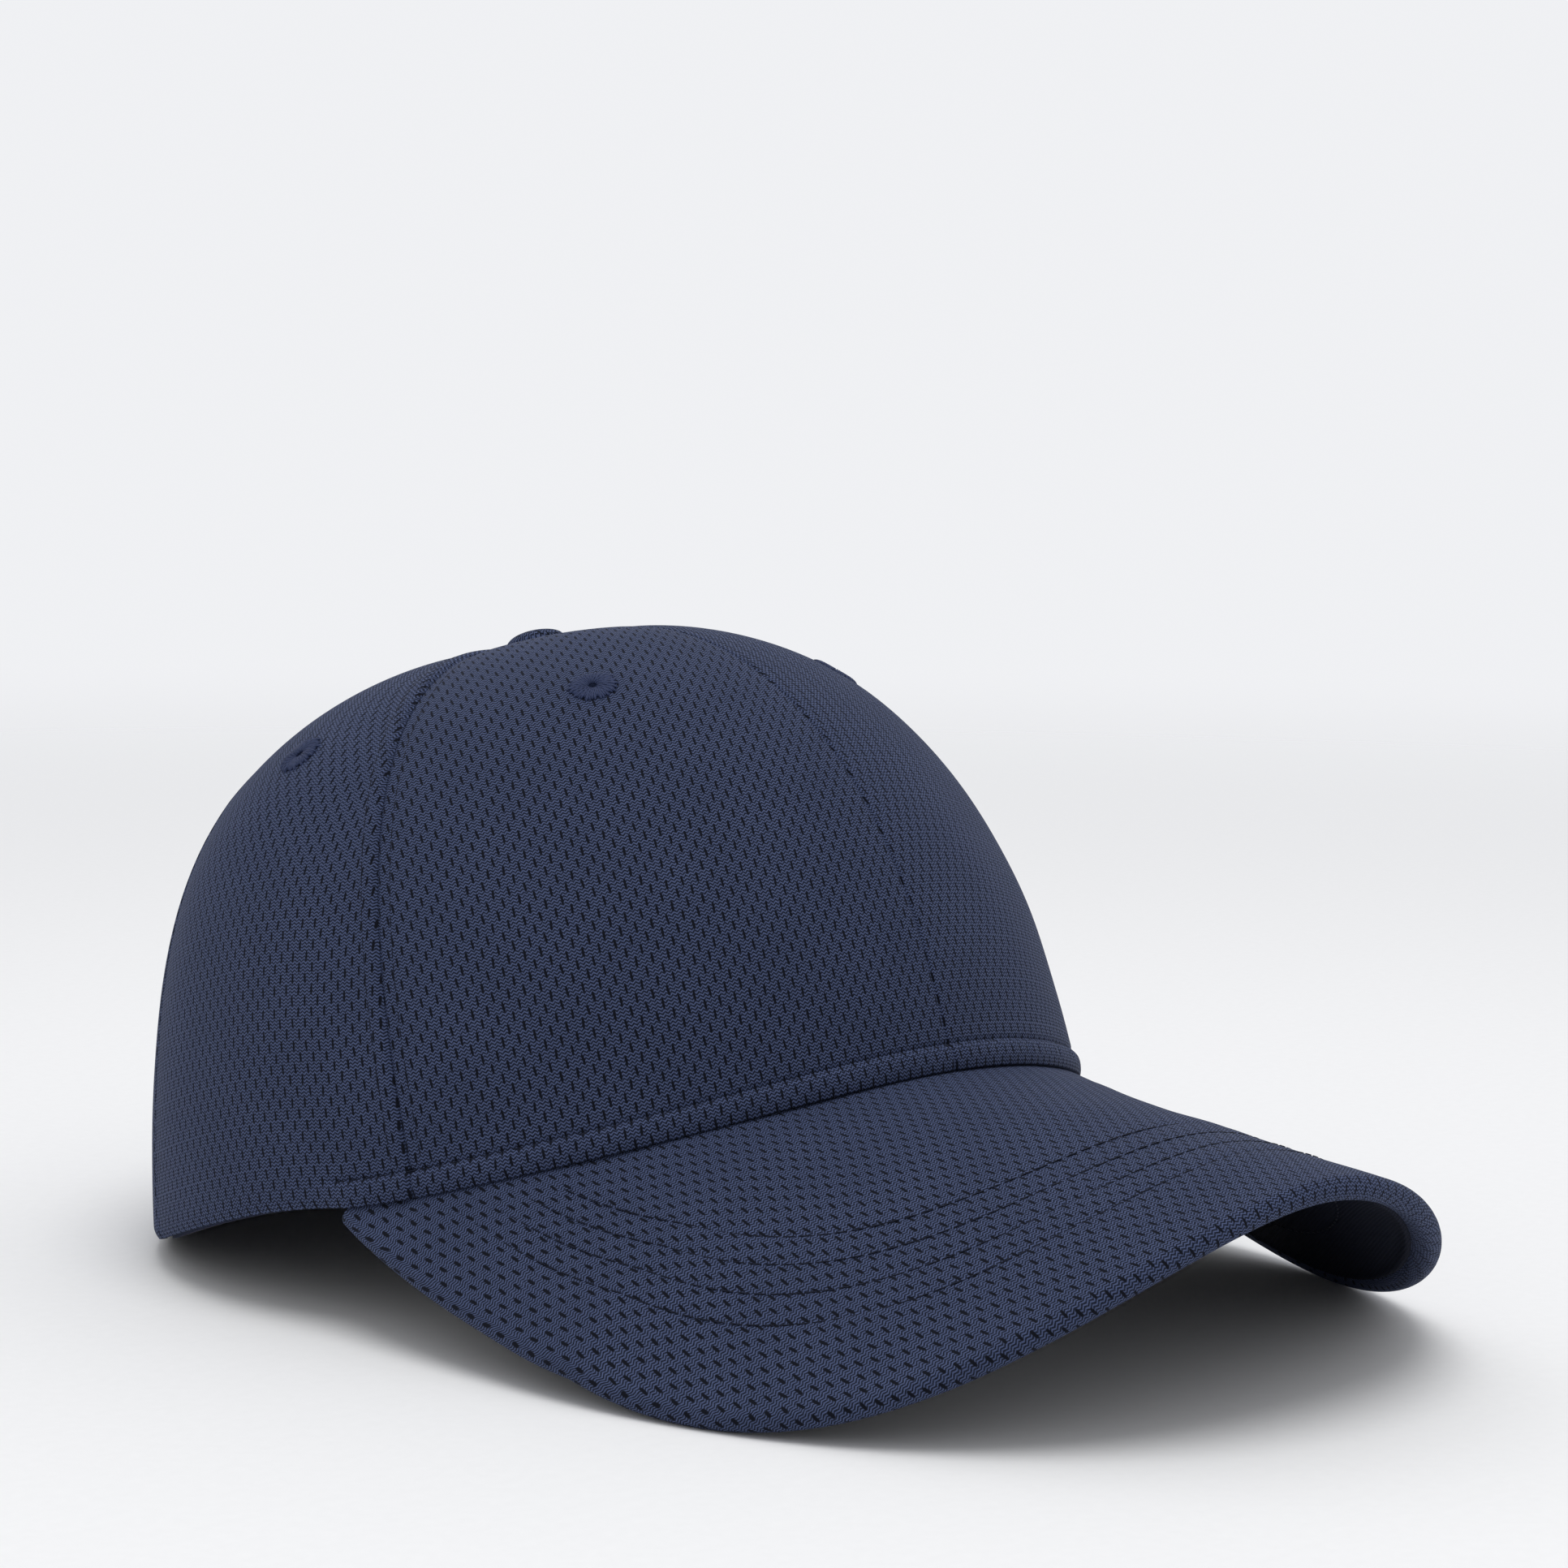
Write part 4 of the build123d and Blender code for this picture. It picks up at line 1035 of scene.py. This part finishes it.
def slide(turn, rise, direction, distance):
    """Turn and rise of the point reached by moving along the crown."""
    round_it = (crown_surface(turn + 0.2, rise) - crown_surface(turn - 0.2, rise)) / 0.4
    up_it = (crown_surface(turn, rise + 0.003) - crown_surface(turn, rise - 0.003)) / 0.006
    move = direction * distance[..., None]
    a, b, c = [np.sum(m * n, -1) for m, n in ((round_it, round_it), (round_it, up_it), (up_it, up_it))]
    p, q = np.sum(move * round_it, -1), np.sum(move * up_it, -1)
    spread = a * c - b * b
    return turn + (c * p - b * q) / spread, rise + (a * q - b * p) / spread


def away_from_arch(angle):
    turn, rise = arch_at(angle)
    ahead = crown_surface(*arch_at(angle + 1)) - crown_surface(*arch_at(angle - 1))
    away = unit(np.cross(crown_normal(turn, rise), ahead))
    into = crown_surface(180 + 0 * turn, rise) - crown_surface(turn, rise) + [0, 0, -1]
    return away * -np.sign(np.sum(away * into, -1, keepdims=True))


def make_binding():
    angle = np.linspace(2.0, 178.0, 140)[:, None]
    away = away_from_arch(angle[:, 0])[:, None]
    flap = np.linspace(BINDING_WIDTH, 0, 18)[:-1]
    swing = np.radians(np.linspace(-90, 90, 9))
    grids = []
    for out_depth, in_depth in ((-0.55, 1.45), (-0.1, 1.0)):
        middle, radius = (out_depth + in_depth) / 2, (in_depth - out_depth) / 2
        distance = np.concatenate([flap, -radius * np.cos(swing), flap[::-1]])
        depth = np.concatenate([0 * flap + out_depth, middle + radius * np.sin(swing), 0 * flap + in_depth])
        if out_depth < -0.2:
            groove = 0.2 * bell(distance - 5.2, 0.5) - 0.12 * bell(distance - 2.5, 2.0)
            depth = depth + groove * np.sign(depth - middle) * -1
        starts = [value + 0 * distance for value in arch_at(angle)]
        grid_turn, grid_rise = slide(*starts, away, distance + 0 * angle)
        grids.append(crown_point(grid_turn, grid_rise, depth + 0 * angle))
    run = np.radians(angle) * 45
    grain = np.stack([run + 0 * distance, np.arange(distance.size) * 0.4 + 0 * angle], -1)
    binding = sewn("arch_binding_tape", *grids, grain, TAPE_CLOTH, "tape")
    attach(binding, "cap")
    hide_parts("arch_binding")


make_binding()


# ---------------------------------------------------------------------------------------------------
# Closure. Two straps of folded navy twill, each sewn to a side of the opening with a box of stitches.
# The hook strap lies outside and carries a patch of nylon hooks, which grips the looped patch on the
# inner strap.

STRAP_HEIGHTS = (2.5, 23.5)
STRAP_CORNER = 6.0
STRAP_TWILL = woven("folded_strap_twill", "#1d2339", "#333c5a", 0.55, 0.75, 0.00025, 0.03)
STRAPS = {
    "hook": {"turns": (-142.0, -196.0), "depths": (-2.2, -0.8), "patch_turns": (-172.0, -194.5),
             "patch": (-0.75, 0.4), "box": (-142.0, -152.6), "hinge": (-150.5, -157.0)},
    "loop": {"turns": (142.0, 197.0), "depths": (1.75, 3.1), "patch_turns": (160.0, 195.5),
             "patch": (0.95, 1.75), "box": (142.0, 151.6), "hinge": (149.8, 156.0)},
}


def strap_place(turns, heights, rounded):
    middle, half = sum(heights) / 2, (heights[1] - heights[0]) / 2
    length = math.radians(abs(turns[1] - turns[0])) * OUTLINE["back"]

    def place(up, across):
        turn = blend(*turns, across)
        to_end = np.clip(length * (1 - across), 0, STRAP_CORNER)
        corner = STRAP_CORNER - np.sqrt(STRAP_CORNER**2 - (STRAP_CORNER - to_end) ** 2)
        reach = half - corner * rounded
        return turn, rise_at(turn, middle + reach * blend(-1, 1, up))

    return place


def strap_columns(count):
    """Shares along a strap, closer together at its rounded end."""
    rounded_end = 1 - 0.07 * (1 - np.linspace(0, 1, 24)[1:]) ** 2
    return np.sort(np.concatenate([np.linspace(0, 0.93, count), rounded_end]))


def make_strap(kind, facts):
    up, across = np.meshgrid(np.linspace(0, 1, 61), strap_columns(150), indexing="ij")
    turn, rise = strap_place(facts["turns"], STRAP_HEIGHTS, True)(up, across)
    from_side = np.minimum(up, 1 - up) * (STRAP_HEIGHTS[1] - STRAP_HEIGHTS[0])
    length = math.radians(abs(facts["turns"][1] - facts["turns"][0])) * OUTLINE["back"]
    from_side = np.minimum(from_side, np.minimum(across, 1 - across) * length + 0.01)
    low, high = facts["depths"]
    middle, half = (low + high) / 2, (high - low) / 2
    swell = np.sqrt(np.clip(1 - (1 - np.clip(from_side / 0.9, 0, 1)) ** 2, 0.02, 1))
    groove = 0.28 * bell(from_side - 1.9, 0.5)
    swell = swell * (1 - groove) + 0.05 * ripple(across * length, up * 21, 15.0, 3.0)
    outer = crown_point(turn, rise, middle - half * swell)
    inner = crown_point(turn, rise, middle + half * swell)
    grain = np.stack([across * length, up * 21.0], -1)
    strap = sewn(f"{kind}_strap_twill", outer, inner, grain, STRAP_TWILL, "strap_cloth")
    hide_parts(f"{kind}_strap", f"{kind}_strap_root")
    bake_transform(strap)


def make_patch(kind, facts):
    """Hook side: ranks of small stiff hooks. Loop side: a napped pile."""
    heights = (STRAP_HEIGHTS[0] + 1.5, STRAP_HEIGHTS[1] - 1.5)
    up, across = np.meshgrid(np.linspace(0, 1, 73), np.linspace(0, 1, 181), indexing="ij")
    turn, rise = strap_place(facts["patch_turns"], heights, False)(up, across)
    length = math.radians(abs(facts["patch_turns"][1] - facts["patch_turns"][0])) * OUTLINE["back"]
    high = heights[1] - heights[0]
    x, y = across * length, up * high
    edge = np.minimum(np.minimum(y, high - y), np.minimum(x, length - x))
    inside = np.clip((edge - 1.2) / 0.4, 0, 1)
    if kind == "hook":
        ranks = [np.clip(np.sin(v * 2 * math.pi / pitch), 0, 1) for v, pitch in ((x, 1.25), (y, 1.1))]
        pile = inside * 0.4 * (ranks[0] * ranks[1])
    else:
        pile = inside * (0.16 + 0.13 * ripple(x, y, 1.7, 5.0) + 0.08 * ripple(x, y, 0.9, 8.0))
    low, deep = facts["patch"]
    if kind == "hook":
        outer, inner = crown_point(turn, rise, low + 0 * x), crown_point(turn, rise, deep - 0.4 + pile)
    else:
        outer, inner = crown_point(turn, rise, low + 0.2 - pile), crown_point(turn, rise, deep + 0 * x)
    material = HOOK_NYLON if kind == "hook" else LOOP_PILE
    patch = sewn(f"{kind}_patch_tape", outer, inner, np.stack([x, y], -1), material, f"{kind}_tape")
    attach(patch, f"{kind}_strap")
    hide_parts(f"{kind}_patch")


def box_lines(facts):
    """A rectangle of stitching round the strap's sewn end."""
    start, end = facts["box"]
    inset = math.copysign(math.degrees(2.0 / OUTLINE["back"]), end - start)
    low, high = STRAP_HEIGHTS[0] + 2.2, STRAP_HEIGHTS[1] - 2.2
    start, end = start + inset, end - inset
    outside = facts["depths"][0] < 0
    depth = facts["depths"][0] + 0.12 if outside else facts["depths"][1] - 0.12
    corners = [(start, low), (end, low), (end, high), (start, high), (start, low)]
    lines = []
    for (turn_a, height_a), (turn_b, height_b) in zip(corners, corners[1:]):
        share = np.linspace(0.03, 0.97, 24)
        turn = blend(turn_a, turn_b, share)
        rise = rise_at(turn, blend(height_a, height_b, share))
        normal = crown_normal(turn, rise)
        lines.append((crown_point(turn, rise, depth + 0 * turn), normal if outside else -normal))
    return lines


HOOK_NYLON = woven("hooked_nylon_tape", "#0e111b", "#23283a", 0.6, 0.45, 0.0002)
LOOP_PILE = woven("napped_loop_pile", "#151a2a", "#2a314a", 0.7, 0.98, 0.0004, 0.08)
for kind, facts in STRAPS.items():
    make_strap(kind, facts)
    make_patch(kind, facts)
    stitches(f"{kind}_strap_box_stitch", box_lines(facts), f"{kind}_strap_stitching", length=2.0, pitch=2.5)


# ---------------------------------------------------------------------------------------------------
# Floor, light and camera. Pale paper that fades into bright studio walls, brightest behind the cap, and
# one broad soft light above and behind it.

FLOOR_HALF = 3.0
PAPER_FADE = (0.35, 1.6)
BACKDROP = (0.665, 0.735, 0.13)


def floor_paper():
    """Matt white paper that fades away with distance, so that no edge shows against the walls."""
    material = bpy.data.materials.new("matt_white_paper")
    material.use_nodes = True
    tree = material.node_tree
    shader = tree.nodes["Principled BSDF"]
    place = add(tree, "ShaderNodeTexCoord")
    tooth = add(tree, "ShaderNodeTexNoise", {"Vector": place.outputs["Object"], "Scale": 400.0,
                                             "Detail": 2.0})
    tint = add(tree, "ShaderNodeMix", {0: tooth, 6: linear("#f2f2f2"), 7: linear("#f6f6f6")},
               data_type="RGBA")
    distance = add(tree, "ShaderNodeVectorMath", {0: place.outputs["Object"]}, operation="LENGTH")
    near = add(tree, "ShaderNodeMapRange", {"Value": distance.outputs["Value"], "From Min": PAPER_FADE[1],
                                            "From Max": PAPER_FADE[0]}, interpolation_type="SMOOTHSTEP")
    connect(tree, shader, {"Base Color": tint.outputs[2], "Alpha": near, "Roughness": 0.9,
                           "Specular IOR Level": 0.1})
    return material


mesh = bpy.data.meshes.new("paper_floor")
mesh.from_pydata([(x, y, 0) for x in (-FLOOR_HALF, FLOOR_HALF) for y in (-FLOOR_HALF, FLOOR_HALF)], [],
                 [(0, 2, 3, 1)])
mesh.materials.append(floor_paper())
floor = bpy.data.objects.new("paper_floor", mesh)
bpy.context.scene.collection.objects.link(floor)


def area_light(name, place, target, size, power):
    data = bpy.data.lights.new(name, "AREA")
    data.shape = "DISK"
    data.size = size
    data.energy = power
    light = bpy.data.objects.new(name, data)
    bpy.context.scene.collection.objects.link(light)
    light.location = place
    aim = np.array(target) - np.array(place)
    tilt, heading = math.acos(-aim[2] / np.linalg.norm(aim)), math.atan2(aim[1], aim[0])
    light.rotation_euler = (tilt, 0, heading - math.pi / 2)


def studio_walls():
    """White walls, bright behind the cap and dimmer on the camera's side."""
    world = bpy.data.worlds.new("studio_walls")
    world.use_nodes = True
    tree = world.node_tree
    wall = tree.nodes["Background"]
    direction = add(tree, "ShaderNodeTexCoord")
    facing = add(tree, "ShaderNodeVectorMath", {0: direction.outputs["Generated"], 1: BACKDROP},
                 operation="DOT_PRODUCT")
    strength = add(tree, "ShaderNodeMapRange", {"Value": facing.outputs["Value"], "From Min": -0.9,
                                                "From Max": 0.85, "To Min": 0.5, "To Max": 0.9})
    connect(tree, wall, {"Strength": strength, "Color": linear("#fbfcff")})
    return world


area_light("overhead_softbox", (-0.1, -0.15, 1.3), (0, 0, 0.05), 0.9, 6.5)
bpy.context.scene.world = studio_walls()
bpy.context.scene.view_settings.view_transform = "Standard"

AZIMUTH, ELEVATION, ROLL = math.radians(-41.94), math.radians(8.51), math.radians(0.69)
DISTANCE = 0.7607
AIM_ACROSS, AIM_UP = -0.0191207, 0.0445666
LENS_LENGTH = 89.8509
SENSOR_WIDTH = 36.0
TARGET = np.array([0, 0.01768, 0.06])
back = np.array([math.sin(AZIMUTH) * math.cos(ELEVATION), -math.cos(AZIMUTH) * math.cos(ELEVATION),
                 math.sin(ELEVATION)])
right = unit(np.cross(-back, [0, 0, 1]))
up = np.cross(right, -back)
ahead = unit(-back - AIM_ACROSS * right + AIM_UP * up)
level = unit(np.cross(ahead, [0, 0, 1]))
above = np.cross(level, ahead)
rightward = level * math.cos(ROLL) + above * math.sin(ROLL)
upward = above * math.cos(ROLL) - level * math.sin(ROLL)
axes = [rightward, upward, -ahead]
lens = bpy.data.cameras.new("studio_camera")
lens.sensor_width = SENSOR_WIDTH
lens.lens = LENS_LENGTH
camera = bpy.data.objects.new("studio_camera", lens)
bpy.context.scene.collection.objects.link(camera)
place = TARGET + DISTANCE * back
camera.matrix_world = Matrix([[*[axis[i] for axis in axes], place[i]] for i in range(3)] + [[0, 0, 0, 1]])
bpy.context.scene.camera = camera
